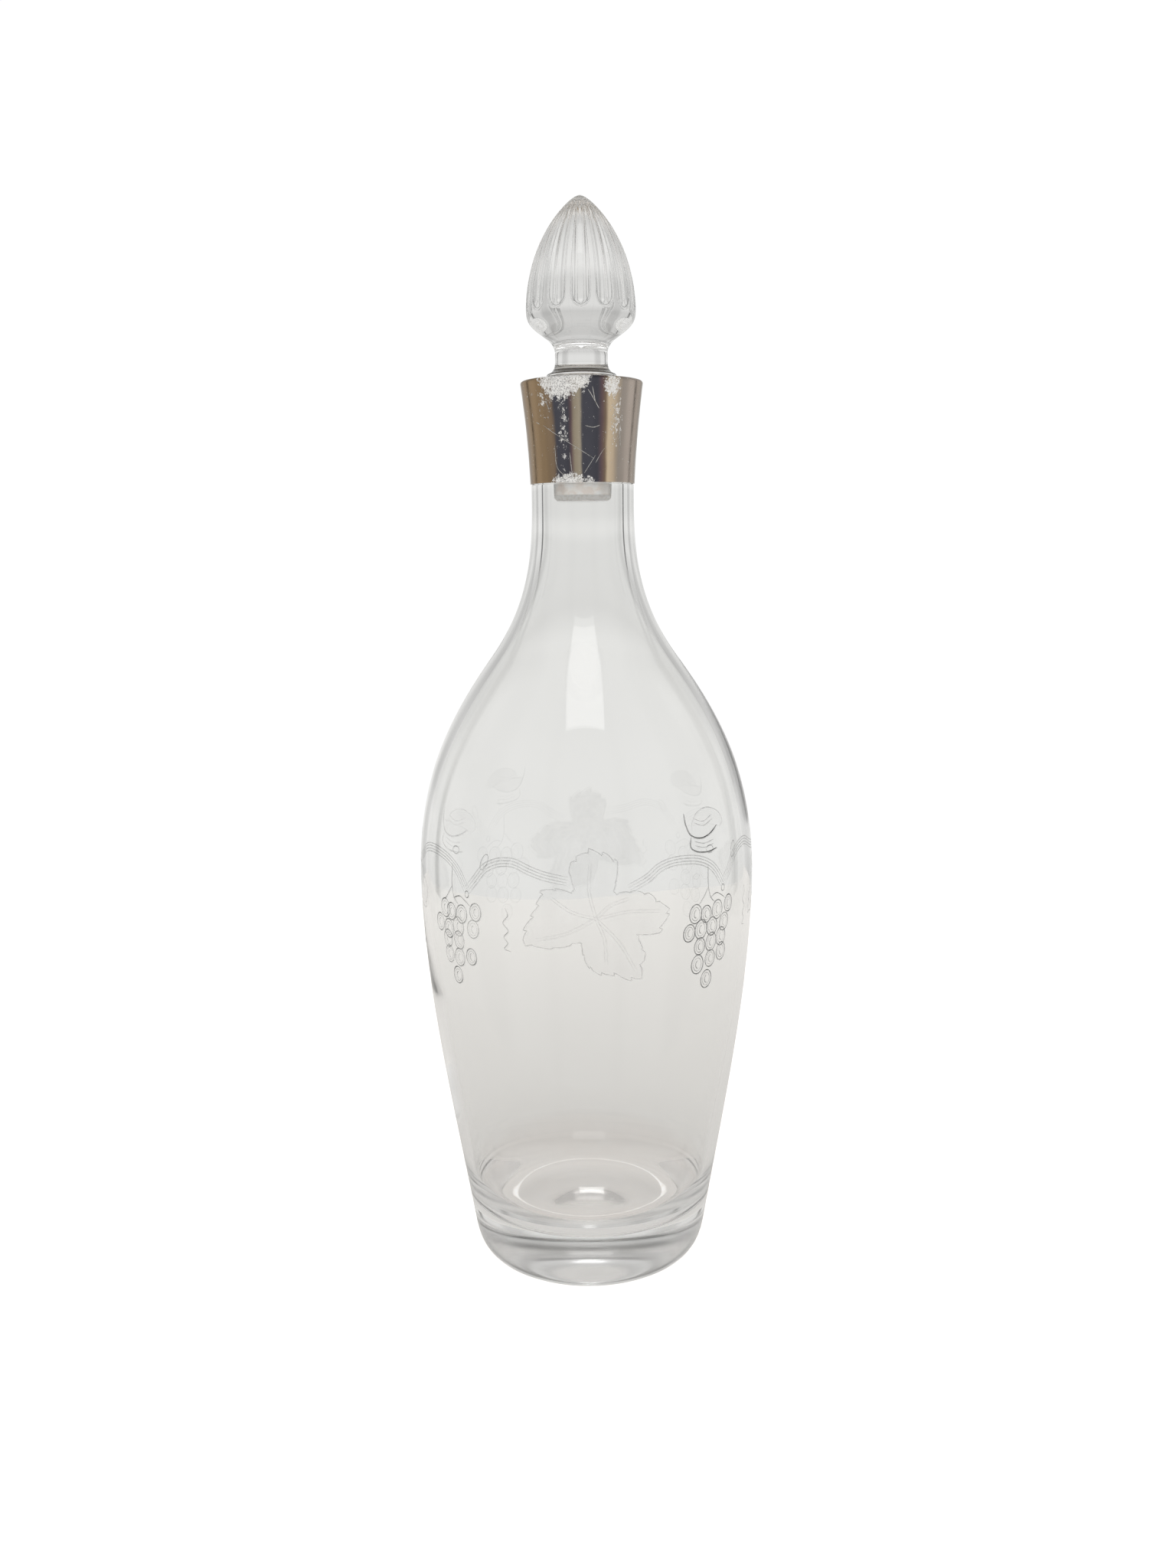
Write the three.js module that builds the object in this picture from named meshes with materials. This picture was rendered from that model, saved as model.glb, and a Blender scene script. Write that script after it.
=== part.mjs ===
// Glass carafe with a flared metal collar round its neck and a fluted, ground-in stopper.
// Millimetres, +Z up. The axis of every piece is the Z axis, and the foot stands on z = 0.
import * as THREE from 'three';

// Bottle, outside: radii from the axis, and rises from one station to the next
const FOOT_RADIUS = 26.2;
const HEEL_RADIUS = 37.9;
const HEEL_HEIGHT = 10.5;
const LOWER_WALL_LEAN = 9.2;
const BELLY_RADIUS = 52.6;
const BELLY_RISE = 115.9;
const SHOULDER_RADIUS = 28.8;
const SHOULDER_RISE = 68.6;
const SHOULDER_LEAN = 36.1;
const NECK_RADIUS = 15.55;
const NECK_RISE = 46.8;
const NECK_BELOW_COLLAR = 5.5;

// Bottle, inside: walls, floor and the ground mark under the foot
const PONTIL_RADIUS = 12.5;
const PONTIL_DEPTH = 2.2;
const FLOOR_THICKNESS = 17.4;
const FLOOR_DOME = 0.8;
const FLOOR_CORNER_HEIGHT = 15;
const FLOOR_CORNER_WIDTH = 16;
const LOWER_WALL = 2.8;
const BELLY_WALL = 2.6;
const NECK_WALL = 3.4;
const BORE_STRAIGHT = 14;
const LIP_WIDTH = 4.6;
const LIP_BEVEL = 0.7;

// Ground joint between the neck and the stopper
const SEAT_LENGTH = 21;
const SEAT_TAPER = 0.04;
const SEAT_FLARE_LENGTH = 8;

// Collar of thin metal, and the plaster ring that sets it on the neck
const COLLAR_HEIGHT = 30.1;
const COLLAR_SHEET = 0.6;
const COLLAR_FLARE = 2.55;
const COLLAR_FOOT_LEAN = 2.5;
const COLLAR_TOP_LEAN = 7.5;
const COLLAR_RIM_ROUND = 0.9;
const COLLAR_LID_REACH = 1.45;
const PLASTER_HEIGHT = 12;

// Stopper: heights above the mouth of the neck
const PEG_LENGTH = 34.3;
const PEG_BEVEL = 0.9;
const BEAD_OVERHANG = 0.3;
const BEAD_FOOT = 1.5;
const BEAD_ROUND = 1.5;
const WAIST_RADIUS = 7.9;
const WAIST_FOOT = 7;
const WAIST_TOP = 9;
const BUD_RADIUS = 16.35;
const BUD_WIDEST = 20.6;
const BUD_TIP = 53.9;
const FLUTE_COUNT = 14;
const FLUTE_DEPTH = 0.9;
const FLUTE_FOOT = -0.6;
const FLUTE_ARCH = 3.4;
const FLUTE_RUNOUT = 3;

// Gap between neighbouring pieces, and the distance under which two points of an outline are one
const CLEARANCE = 0.3;
const SAME_POINT = 1e-6;

// Steps round the turned surfaces
const ROUND_STEPS = 48;
const STEPS_PER_FLUTE = 4;

// Heights along the axis
const bellyHeight = HEEL_HEIGHT + BELLY_RISE;
const shoulderHeight = bellyHeight + SHOULDER_RISE;
const neckHeight = shoulderHeight + NECK_RISE;
const collarFoot = neckHeight + NECK_BELOW_COLLAR;
const collarTop = collarFoot + COLLAR_HEIGHT;
const lidFoot = collarTop - COLLAR_SHEET;
const mouth = lidFoot - CLEARANCE;

// Radii that follow one another where pieces meet: the neck is cut back under the collar, and the
// collar's sleeve is flush with the neck below it but for the clearance
const collaredNeckRadius = NECK_RADIUS - COLLAR_SHEET;
const collarFootRadius = collaredNeckRadius + CLEARANCE + COLLAR_SHEET;
const collarTopRadius = collarFootRadius + COLLAR_FLARE;
const seatMouthRadius = collaredNeckRadius - LIP_WIDTH;

// A point of an outline: radius from the axis and height.
function at(radius, height) {
  return new THREE.Vector2(radius, height);
}

// Direction in the outline plane that leans outwards from straight up by an angle in degrees.
function leaning(angle) {
  const turn = THREE.MathUtils.degToRad(angle);
  return at(Math.sin(turn), Math.cos(turn));
}

const UP = at(0, 1);
const DOWN = at(0, -1);
const OUT = at(1, 0);
const IN = at(-1, 0);

// Smooth stretch between two stations that leaves and arrives in the given directions.
// The fullness values are the lengths of the curve's handles as shares of the distance bridged.
function stretch(start, startWay, end, endWay, startFullness, endFullness, steps) {
  const span = start.distanceTo(end);
  const startHandle = start.clone().addScaledVector(startWay, span * startFullness);
  const endHandle = end.clone().addScaledVector(endWay, -span * endFullness);
  return new THREE.CubicBezierCurve(start, startHandle, endHandle, end).getPoints(steps);
}

// Joins runs of points into one outline, with each shared end kept once.
function outline(...runs) {
  const points = runs.flat();
  return points.filter((point, index) => index === 0 || point.distanceTo(points[index - 1]) > SAME_POINT);
}

// Solid of revolution of an outline about the Z axis.
function turned(points, steps) {
  return new THREE.LatheGeometry(points, steps).rotateX(Math.PI / 2);
}

// Radius of the conical seat at a height.
function seatRadius(height) {
  return seatMouthRadius - (mouth - height) * SEAT_TAPER;
}

// Flared side of the collar, drawn inwards of its outer face by an inset.
function collarSide(inset, steps) {
  const foot = at(collarFootRadius - inset, collarFoot);
  const top = at(collarTopRadius - inset, collarTop - COLLAR_RIM_ROUND);
  return stretch(foot, leaning(COLLAR_FOOT_LEAN), top, leaning(COLLAR_TOP_LEAN), 0.35, 0.35, steps);
}

// Outside of the bottle, from the ground mark under the foot to the lip of the mouth.
function bottleOutside() {
  const foot = at(FOOT_RADIUS, 0);
  const heel = at(HEEL_RADIUS, HEEL_HEIGHT);
  const belly = at(BELLY_RADIUS, bellyHeight);
  const shoulder = at(SHOULDER_RADIUS, shoulderHeight);
  const neck = at(NECK_RADIUS, neckHeight);
  const wallWay = leaning(LOWER_WALL_LEAN);
  const shoulderWay = leaning(-SHOULDER_LEAN);
  const stepHeight = collarFoot - CLEARANCE;
  return [
    ...stretch(at(0, PONTIL_DEPTH), OUT, at(PONTIL_RADIUS, 0), leaning(110), 0.33, 0.33, 4),
    ...stretch(foot, OUT, heel, wallWay, 0.5, 0.5, 5),
    ...stretch(heel, wallWay, belly, UP, 0.33, 0.3, 7),
    ...stretch(belly, UP, shoulder, shoulderWay, 0.41, 0.35, 7),
    ...stretch(shoulder, shoulderWay, neck, UP, 0.38, 0.37, 6),
    at(NECK_RADIUS, stepHeight),
    at(collaredNeckRadius, stepHeight),
    at(collaredNeckRadius, mouth - LIP_BEVEL),
    at(collaredNeckRadius - LIP_BEVEL, mouth),
  ];
}

// Inside of the bottle, from the mouth down the conical seat, the bore and the wall to the floor.
function bottleInside() {
  const seatFoot = at(seatRadius(mouth - SEAT_LENGTH), mouth - SEAT_LENGTH);
  const boreTop = at(NECK_RADIUS - NECK_WALL, seatFoot.y - SEAT_FLARE_LENGTH);
  const boreFoot = at(boreTop.x, boreTop.y - BORE_STRAIGHT);
  const inwards = leaning(-SHOULDER_LEAN - 90);
  const shoulder = at(SHOULDER_RADIUS, shoulderHeight).addScaledVector(inwards, BELLY_WALL);
  const shoulderWay = leaning(180 - SHOULDER_LEAN);
  const belly = at(BELLY_RADIUS - BELLY_WALL, bellyHeight);
  const wallWay = leaning(180 + LOWER_WALL_LEAN);
  const cornerHeight = FLOOR_THICKNESS + FLOOR_CORNER_HEIGHT;
  const widening = (cornerHeight - HEEL_HEIGHT) * Math.tan(THREE.MathUtils.degToRad(LOWER_WALL_LEAN));
  const corner = at(HEEL_RADIUS + widening - LOWER_WALL, cornerHeight);
  const floorEdge = at(corner.x - FLOOR_CORNER_WIDTH, FLOOR_THICKNESS);
  const floorMiddle = at(0, FLOOR_THICKNESS + FLOOR_DOME);
  return [
    at(seatMouthRadius + LIP_BEVEL, mouth),
    at(seatMouthRadius, mouth - LIP_BEVEL),
    ...stretch(seatFoot, DOWN, boreTop, DOWN, 0.45, 0.45, 3),
    ...stretch(boreFoot, DOWN, shoulder, shoulderWay, 0.29, 0.37, 5),
    ...stretch(shoulder, shoulderWay, belly, DOWN, 0.35, 0.4, 6),
    ...stretch(belly, DOWN, corner, wallWay, 0.3, 0.33, 6),
    ...stretch(corner, wallWay, floorEdge, IN, 0.4, 0.4, 5),
    ...stretch(floorEdge, IN, floorMiddle, IN, 0.33, 0.33, 2),
  ];
}

// Neck collar: one sheet of metal, flared upwards, its top edge turned in over the lip of the glass.
function neckCollar() {
  const face = collarSide(0, 5);
  const back = collarSide(COLLAR_SHEET, 5).reverse();
  const roundEnd = collarTopRadius - COLLAR_RIM_ROUND;
  const lidEdge = collaredNeckRadius - COLLAR_LID_REACH;
  const rim = stretch(face.at(-1), leaning(COLLAR_TOP_LEAN), at(roundEnd, collarTop), IN, 0.4, 0.4, 3);
  const lid = [at(lidEdge, collarTop), at(lidEdge, lidFoot), at(roundEnd, lidFoot)];
  return turned(outline(face, rim, lid, back, [face[0]]), ROUND_STEPS);
}

// Plaster ring that fills the wedge between the collar's sleeve and the neck, below the lid.
function collarPlaster() {
  const innerRadius = collaredNeckRadius + CLEARANCE;
  const roof = lidFoot - CLEARANCE;
  const wedge = collarSide(COLLAR_SHEET + CLEARANCE, 16)
    .filter((point) => point.y > roof - PLASTER_HEIGHT && point.y < roof);
  const foot = at(innerRadius, wedge[0].y);
  return turned([foot, ...wedge, at(wedge.at(-1).x, roof), at(innerRadius, roof), foot], ROUND_STEPS);
}

// Share of the full flute depth at a place. Across goes from -1 to 1 over one flute, and rise is the
// height above the flute's foot: a flute is hollow across, and ends below in a round arch.
function fluteShare(across, rise) {
  const arch = FLUTE_ARCH * across ** 2;
  return THREE.MathUtils.smoothstep(rise, arch, arch + FLUTE_RUNOUT) * (1 - across ** 2);
}

// Presses the flutes into the bud of a turned stopper. They get shallower as the bud narrows.
function pressFlutes(geometry) {
  const position = geometry.attributes.position;
  const footHeight = mouth + BUD_WIDEST + FLUTE_FOOT;
  const fluteAngle = (2 * Math.PI) / FLUTE_COUNT;
  for (let index = 0; index < position.count; index += 1) {
    const x = position.getX(index);
    const y = position.getY(index);
    const z = position.getZ(index);
    const turn = Math.atan2(x, -y) / fluteAngle;
    const across = 2 * (turn - Math.round(turn));
    const scale = 1 - (FLUTE_DEPTH / BUD_RADIUS) * fluteShare(across, z - footHeight);
    position.setXYZ(index, x * scale, y * scale, z);
  }
  return geometry;
}

// Outline of the stopper: ground peg, bead at the mouth, waist and bud.
function stopperOutline() {
  const pegRadius = (height) => seatRadius(height) - CLEARANCE;
  const pegFoot = mouth - PEG_LENGTH;
  const pegTop = mouth + CLEARANCE;
  const bead = at(seatMouthRadius + BEAD_OVERHANG, mouth + BEAD_FOOT);
  const beadTop = at(bead.x - BEAD_ROUND / 3, bead.y + BEAD_ROUND);
  const waistFoot = at(WAIST_RADIUS, mouth + WAIST_FOOT);
  const waistTop = at(WAIST_RADIUS, mouth + WAIST_TOP);
  const widest = at(BUD_RADIUS, mouth + BUD_WIDEST);
  const tip = at(0, mouth + BUD_TIP);
  return outline(
    [at(0, pegFoot), at(pegRadius(pegFoot) - PEG_BEVEL, pegFoot)],
    [at(pegRadius(pegFoot), pegFoot + PEG_BEVEL), at(pegRadius(pegTop), pegTop)],
    stretch(bead, UP, beadTop, leaning(-60), 0.4, 0.4, 2),
    stretch(beadTop, leaning(-70), waistFoot, UP, 0.4, 0.5, 3),
    stretch(waistTop, UP, widest, UP, 0.37, 0.41, 7),
    stretch(widest, UP, tip, IN, 0.57, 0.08, 14),
  );
}

// Names one piece and gives it its own material.
function piece(name, geometry, look) {
  const mesh = new THREE.Mesh(geometry, new THREE.MeshStandardMaterial(look));
  mesh.name = name;
  return mesh;
}

const clearGlass = { color: 0xdfe3dd, roughness: 0.03, metalness: 0 };
const platedMetal = { color: 0xa8977c, roughness: 0.28, metalness: 1 };
const whitePlaster = { color: 0xe4ddcd, roughness: 0.9, metalness: 0 };
const stopperSteps = FLUTE_COUNT * STEPS_PER_FLUTE;

const carafe = new THREE.Group();
carafe.add(piece('glass_body', turned(outline(bottleOutside(), bottleInside()), ROUND_STEPS), clearGlass));
carafe.add(piece('neck_collar', neckCollar(), platedMetal));
carafe.add(piece('collar_plaster', collarPlaster(), whitePlaster));
carafe.add(piece('stopper', pressFlutes(turned(stopperOutline(), stopperSteps)), clearGlass));

export default carafe;
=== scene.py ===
# %% [markdown]
# # A glass carafe with a metal collar and a fluted stopper
#
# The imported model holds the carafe's real sizes as plain solids. Here each solid gets a fine
# surface and its finish: clear blown glass, a cut stopper with a ground peg, and a collar of worn
# silver plate. Sizes are written in millimetres, and the meshes are in metres.

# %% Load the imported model
import bpy
import math
import numpy as np
from mathutils import Matrix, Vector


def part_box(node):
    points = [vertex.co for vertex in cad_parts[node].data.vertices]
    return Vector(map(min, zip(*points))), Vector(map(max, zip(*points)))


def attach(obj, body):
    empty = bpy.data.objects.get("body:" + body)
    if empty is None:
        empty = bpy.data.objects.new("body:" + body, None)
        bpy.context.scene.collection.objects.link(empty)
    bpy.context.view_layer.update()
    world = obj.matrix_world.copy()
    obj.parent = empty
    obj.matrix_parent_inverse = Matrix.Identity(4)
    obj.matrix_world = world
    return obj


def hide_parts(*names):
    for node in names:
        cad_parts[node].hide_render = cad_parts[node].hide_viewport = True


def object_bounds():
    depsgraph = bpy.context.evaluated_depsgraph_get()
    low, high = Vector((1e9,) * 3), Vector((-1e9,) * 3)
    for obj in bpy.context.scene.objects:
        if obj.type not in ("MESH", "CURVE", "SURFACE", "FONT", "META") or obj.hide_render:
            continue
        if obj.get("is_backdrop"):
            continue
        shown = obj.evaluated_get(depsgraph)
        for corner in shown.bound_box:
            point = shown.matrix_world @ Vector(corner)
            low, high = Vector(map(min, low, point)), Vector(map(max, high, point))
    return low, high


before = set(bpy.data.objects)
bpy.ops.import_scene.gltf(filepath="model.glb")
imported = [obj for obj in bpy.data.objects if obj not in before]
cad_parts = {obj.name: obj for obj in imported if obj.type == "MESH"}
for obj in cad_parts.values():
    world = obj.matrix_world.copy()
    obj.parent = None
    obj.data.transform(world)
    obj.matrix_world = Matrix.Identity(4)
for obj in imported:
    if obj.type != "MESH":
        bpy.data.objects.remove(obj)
cad_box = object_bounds()
MM = 0.001

for node in sorted(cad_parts):
    low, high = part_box(node)
    print(node, "from", [round(v / MM, 1) for v in low], "to", [round(v / MM, 1) for v in high])

# %% [markdown]
# ## The camera
#
# The picture was taken from 43 cm away and a little above the shoulder, with the lens tipped down
# by ten degrees, so the foot shows a deeper ellipse than the rim. Its focal length was found from
# the engraving, which has to run level round the belly, in front and at the back. A lens could
# be shifted to raise the picture, but a tipped camera narrows the foot slightly, as here.

# %% Camera
EYE_DISTANCE = 429.1 * MM
EYE_HEIGHT = 230.6 * MM
EYE_ASIDE = 0.73 * MM
EYE_TIP = math.radians(10.05)
EYE_ROLL = math.radians(-0.57)
LENS = 31.64

camera_data = bpy.data.cameras.new("camera")
camera_data.sensor_width = 36
camera_data.lens = LENS
camera = bpy.data.objects.new("camera", camera_data)
bpy.context.scene.collection.objects.link(camera)
tip = Matrix.Rotation(math.pi / 2 - EYE_TIP, 4, "X")
roll = Matrix.Rotation(EYE_ROLL, 4, "Z")
camera.matrix_world = Matrix.Translation((EYE_ASIDE, -EYE_DISTANCE, EYE_HEIGHT)) @ tip @ roll
camera_data.clip_start = 0.01
bpy.context.scene.camera = camera
print("camera", round(EYE_DISTANCE, 3), "m away,", round(EYE_HEIGHT, 3), "m up, lens", LENS, "mm")

# %% [markdown]
# ## Curves
#
# Blown glass has no straight lines, so its outline is drawn as a few stations joined by Bezier
# curves. Each curve leaves and arrives in a given direction, and its fullness says how far it
# keeps to that direction. Corners could be bevelled one by one, but a short moving average along
# the outline rounds them all alike, as fire polishing does.


# %% Outlines
def at(radius, height):
    """A point of an outline, in millimetres: its distance from the axis and its height."""
    return np.array([radius, height], float)


def leaning(angle):
    """The direction that leans outwards from straight up by an angle: its sine and its cosine."""
    return np.array([math.sin(math.radians(angle)), math.cos(math.radians(angle))])


UP, DOWN, OUT, IN = at(0, 1), at(0, -1), at(1, 0), at(-1, 0)


def stretch(start, start_way, end, end_way, start_fullness, end_fullness, steps=60):
    """A cubic Bezier curve from start to end. Its handles point the given ways, and are the
    straight distance times the fullness long."""
    span = np.linalg.norm(end - start)
    handle_1 = start + start_way * span * start_fullness
    handle_2 = end - end_way * span * end_fullness
    t = np.linspace(0, 1, steps)[:, None]
    return (
        (1 - t) ** 3 * start
        + 3 * (1 - t) ** 2 * t * handle_1
        + 3 * (1 - t) * t**2 * handle_2
        + t**3 * end
    )


def outline(*runs):
    """Runs of points joined end to end, with each shared point kept once."""
    points = np.vstack([np.atleast_2d(run) for run in runs])
    step = np.linalg.norm(np.diff(points, axis=0), axis=1)
    return points[np.concatenate([[True], step > 1e-6])]


def evenly(points, spacing):
    """The same line with a point at every spacing of its length."""
    along = np.concatenate([[0], np.cumsum(np.linalg.norm(np.diff(points, axis=0), axis=1))])
    places = np.linspace(0, along[-1], max(8, round(along[-1] / spacing)))
    return np.stack([np.interp(places, along, points[:, k]) for k in range(points.shape[1])], 1)


def rounded(points, rounding, closed):
    """The line with its corners rounded: a moving average over the rounding length. A closed
    line wraps round, and an open one goes on in its mirror image across the axis."""
    spacing = 0.04
    line = evenly(points, spacing)
    reach = max(1, round(rounding / spacing / 2))
    if closed:
        line = np.vstack([line[-reach - 1 : -1], line, line[1 : reach + 1]])
    else:
        mirror = np.array([-1, 1])
        line = np.vstack([line[reach:0:-1] * mirror, line, line[-2 : -reach - 2 : -1] * mirror])
    weights = np.hanning(2 * reach + 3)[1:-1]
    weights /= weights.sum()
    smooth = [np.convolve(line[:, k], weights, mode="valid") for k in range(2)]
    return np.stack(smooth, 1)


def stations(points, count, bend_weight=2.5):
    """The line in count points that lie closer where it bends: equal shares of its length plus
    the bend_weight, in millimetres, for each radian that it turns."""
    step = np.diff(points, axis=0)
    length = np.linalg.norm(step, axis=1)
    way = np.unwrap(np.arctan2(step[:, 1], step[:, 0]))
    turn = np.abs(np.gradient(way))
    share = np.concatenate([[0], np.cumsum(length + bend_weight * turn)])
    places = np.linspace(0, share[-1], count)
    return np.stack([np.interp(places, share, points[:, k]) for k in range(2)], 1)


print("a quarter circle by Bezier:", stretch(at(1, 0), UP, at(0, 1), IN, 0.39, 0.39, 3)[1].round(3))

# %% [markdown]
# ## From an outline to a mesh
#
# A turned piece is a surface of two parameters: how far along the outline, and how far round the
# axis. Blender's Screw modifier could spin an outline, but the whole grid computed at once lets a
# later step press flutes into it or make it slightly uneven, as a blower's work is.


# %% Turned grids
def placed(angle, radius, height):
    """Points in metres, from a direction round the axis and a radius and a height in millimetres.
    Angle 0 is the front, and angles grow towards the right of the picture."""
    x, y = radius * np.sin(angle), -radius * np.cos(angle)
    return np.stack([x, y, np.broadcast_to(height, x.shape)], -1) * MM


def direction_of(grid):
    """The direction of each point round the axis."""
    return np.arctan2(grid[..., 0], -grid[..., 1])


def pushed(grid, distance):
    """The grid with its points moved away from the axis by a distance in millimetres."""
    radius = np.maximum(np.hypot(grid[..., 0], grid[..., 1]) / MM, 1e-6)
    moved = grid.copy()
    moved[..., :2] *= (1 + distance / radius)[..., None]
    return moved


def waves(grid, rows):
    """The sum of sine waves at each point. A row has the wave's size, how many go round the axis,
    the millimetres of height in which it moves on by one radian, and its start in radians."""
    turn, height = direction_of(grid), grid[..., 2] / MM
    return sum(size * np.sin(n * turn + height / rise + start) for size, n, rise, start in rows)


def turned(profile, angles):
    """Grid of points: the profile's radius and height, carried round the axis."""
    return placed(angles, profile[:, 0, None], profile[:, 1, None])


def full_circle(steps):
    """Angles of equal steps once round. The last step back to the start is left out."""
    return np.linspace(0, 2 * math.pi, steps, endpoint=False)


def quads(rows, columns, wrap_rows, wrap_columns):
    """Corner numbers of the faces between neighbouring points of a grid."""
    row = np.arange(rows if wrap_rows else rows - 1)
    column = np.arange(columns if wrap_columns else columns - 1)
    i, j = np.meshgrid(row, column, indexing="ij")
    here, above = i * columns, (i + 1) % rows * columns
    next_j = (j + 1) % columns
    return np.stack([here + j, here + next_j, above + next_j, above + j], 2).reshape(-1, 4)


def mesh_object(name, points, faces, body):
    """A smooth mesh from points and faces of three or four corners, linked and riding on a body.
    Its volume is the sum of a . (b x c) / 6 over its triangles, and it comes out above nought only
    if the faces look outwards."""
    mesh = bpy.data.meshes.new(name)
    mesh.from_pydata(points.reshape(-1, 3), [], faces)
    mesh.polygons.foreach_set("use_smooth", np.ones(len(mesh.polygons), bool))
    mesh.update()
    piece = bpy.data.objects.new(name, mesh)
    bpy.context.scene.collection.objects.link(piece)
    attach(piece, body)
    mesh.calc_loop_triangles()
    corners = np.zeros(len(mesh.loop_triangles) * 3, np.int32)
    mesh.loop_triangles.foreach_get("vertices", corners)
    a, b, c = points.reshape(-1, 3)[corners.reshape(-1, 3)].transpose(1, 0, 2)
    volume = np.einsum("ij,ij->", a, np.cross(b, c)) / 6 / MM**3
    print(name, len(mesh.loop_triangles), "triangles,", round(float(volume), 2), "cubic mm")
    return piece


def skin(name, grid, body, ring=False):
    """A closed mesh over a turned grid. A ring closes on itself, and any other grid starts and
    ends on the axis, where each end is a single point with a fan of triangles."""
    rows, columns = grid.shape[:2]
    if ring:
        return mesh_object(name, grid, quads(rows, columns, True, True).tolist(), body)
    inner = grid[1:-1]
    points = np.vstack([inner.reshape(-1, 3), grid[0, :1], grid[-1, :1]])
    first, last = len(points) - 2, len(points) - 1
    column = np.arange(columns)
    following = (column + 1) % columns
    top = (rows - 3) * columns
    start_fan = np.stack([np.full(columns, first), following, column], 1)
    end_fan = np.stack([top + column, top + following, np.full(columns, last)], 1)
    faces = quads(rows - 2, columns, False, True).tolist() + start_fan.tolist() + end_fan.tolist()
    return mesh_object(name, points, faces, body)


print("one cell of a grid:", quads(2, 2, False, False).tolist())

# %% [markdown]
# ## Sizes
#
# These are the imported model's own sizes, so that each fine surface lies on its solid.

# %% Sizes of the bottle, in millimetres
FOOT_RADIUS, HEEL_RADIUS, HEEL_HEIGHT = 26.2, 37.9, 10.5
LOWER_WALL_LEAN, SHOULDER_LEAN = 9.2, 36.1
BELLY_RADIUS, BELLY_RISE = 52.6, 115.9
SHOULDER_RADIUS, SHOULDER_RISE = 28.8, 68.6
NECK_RADIUS, NECK_RISE, NECK_BELOW_COLLAR = 15.55, 46.8, 5.5
PONTIL_RADIUS, PONTIL_DEPTH = 12.5, 2.2
FLOOR_THICKNESS, FLOOR_DOME = 17.4, 0.8
FLOOR_CORNER_HEIGHT, FLOOR_CORNER_WIDTH = 15, 16
LOWER_WALL, BELLY_WALL, NECK_WALL = 2.8, 2.6, 3.4
BORE_STRAIGHT, LIP_WIDTH, LIP_BEVEL = 14, 4.6, 0.7
SEAT_LENGTH, SEAT_TAPER, SEAT_FLARE_LENGTH = 21, 0.04, 8
COLLAR_HEIGHT, COLLAR_SHEET, COLLAR_FLARE = 30.1, 0.6, 2.55
COLLAR_FOOT_LEAN, COLLAR_TOP_LEAN = 2.5, 7.5
COLLAR_RIM_ROUND, COLLAR_LID_REACH = 0.9, 1.45
CLEARANCE = 0.3

belly_height = HEEL_HEIGHT + BELLY_RISE
shoulder_height = belly_height + SHOULDER_RISE
neck_height = shoulder_height + NECK_RISE
collar_foot = neck_height + NECK_BELOW_COLLAR
collar_top = collar_foot + COLLAR_HEIGHT
lid_foot = collar_top - COLLAR_SHEET
mouth = lid_foot - CLEARANCE
collared_radius = NECK_RADIUS - COLLAR_SHEET
seat_mouth = collared_radius - LIP_WIDTH
print("belly", belly_height, "mm up, mouth", round(mouth, 1), "collar top", round(collar_top, 1))

# %% [markdown]
# ## The bottle
#
# The bottle is one solid of glass with a hollow in it: a thick base, a thin belly and a heavy
# neck. It is drawn as a single line that starts under the foot, climbs the outside to the lip and
# comes back down the inside to the floor, so the wall is real glass with two faces. Light bends
# at each of them. A shell with a Solidify modifier would have an even wall and no heavy base.


# %% Bottle outline
def bottle_outside():
    """Ground mark, foot, heel, wall, belly, shoulder and neck, from the axis to the lip."""
    foot = at(FOOT_RADIUS, 0)
    heel = at(HEEL_RADIUS, HEEL_HEIGHT)
    belly = at(BELLY_RADIUS, belly_height)
    shoulder = at(SHOULDER_RADIUS, shoulder_height)
    neck = at(NECK_RADIUS, neck_height)
    wall_way, shoulder_way = leaning(LOWER_WALL_LEAN), leaning(-SHOULDER_LEAN)
    step_height = collar_foot - CLEARANCE
    return [
        stretch(at(0, PONTIL_DEPTH), OUT, at(PONTIL_RADIUS, 0), leaning(110), 0.33, 0.33),
        stretch(foot, OUT, heel, wall_way, 0.5, 0.5),
        stretch(heel, wall_way, belly, UP, 0.33, 0.3),
        stretch(belly, UP, shoulder, shoulder_way, 0.41, 0.35),
        stretch(shoulder, shoulder_way, neck, UP, 0.38, 0.37),
        at(NECK_RADIUS, step_height),
        at(collared_radius, step_height),
        at(collared_radius, mouth - LIP_BEVEL),
        at(collared_radius - LIP_BEVEL, mouth),
    ]


def seat_radius(height):
    """Radius of the conical seat: it narrows by the taper for each millimetre below the mouth."""
    return seat_mouth - (mouth - height) * SEAT_TAPER


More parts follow.
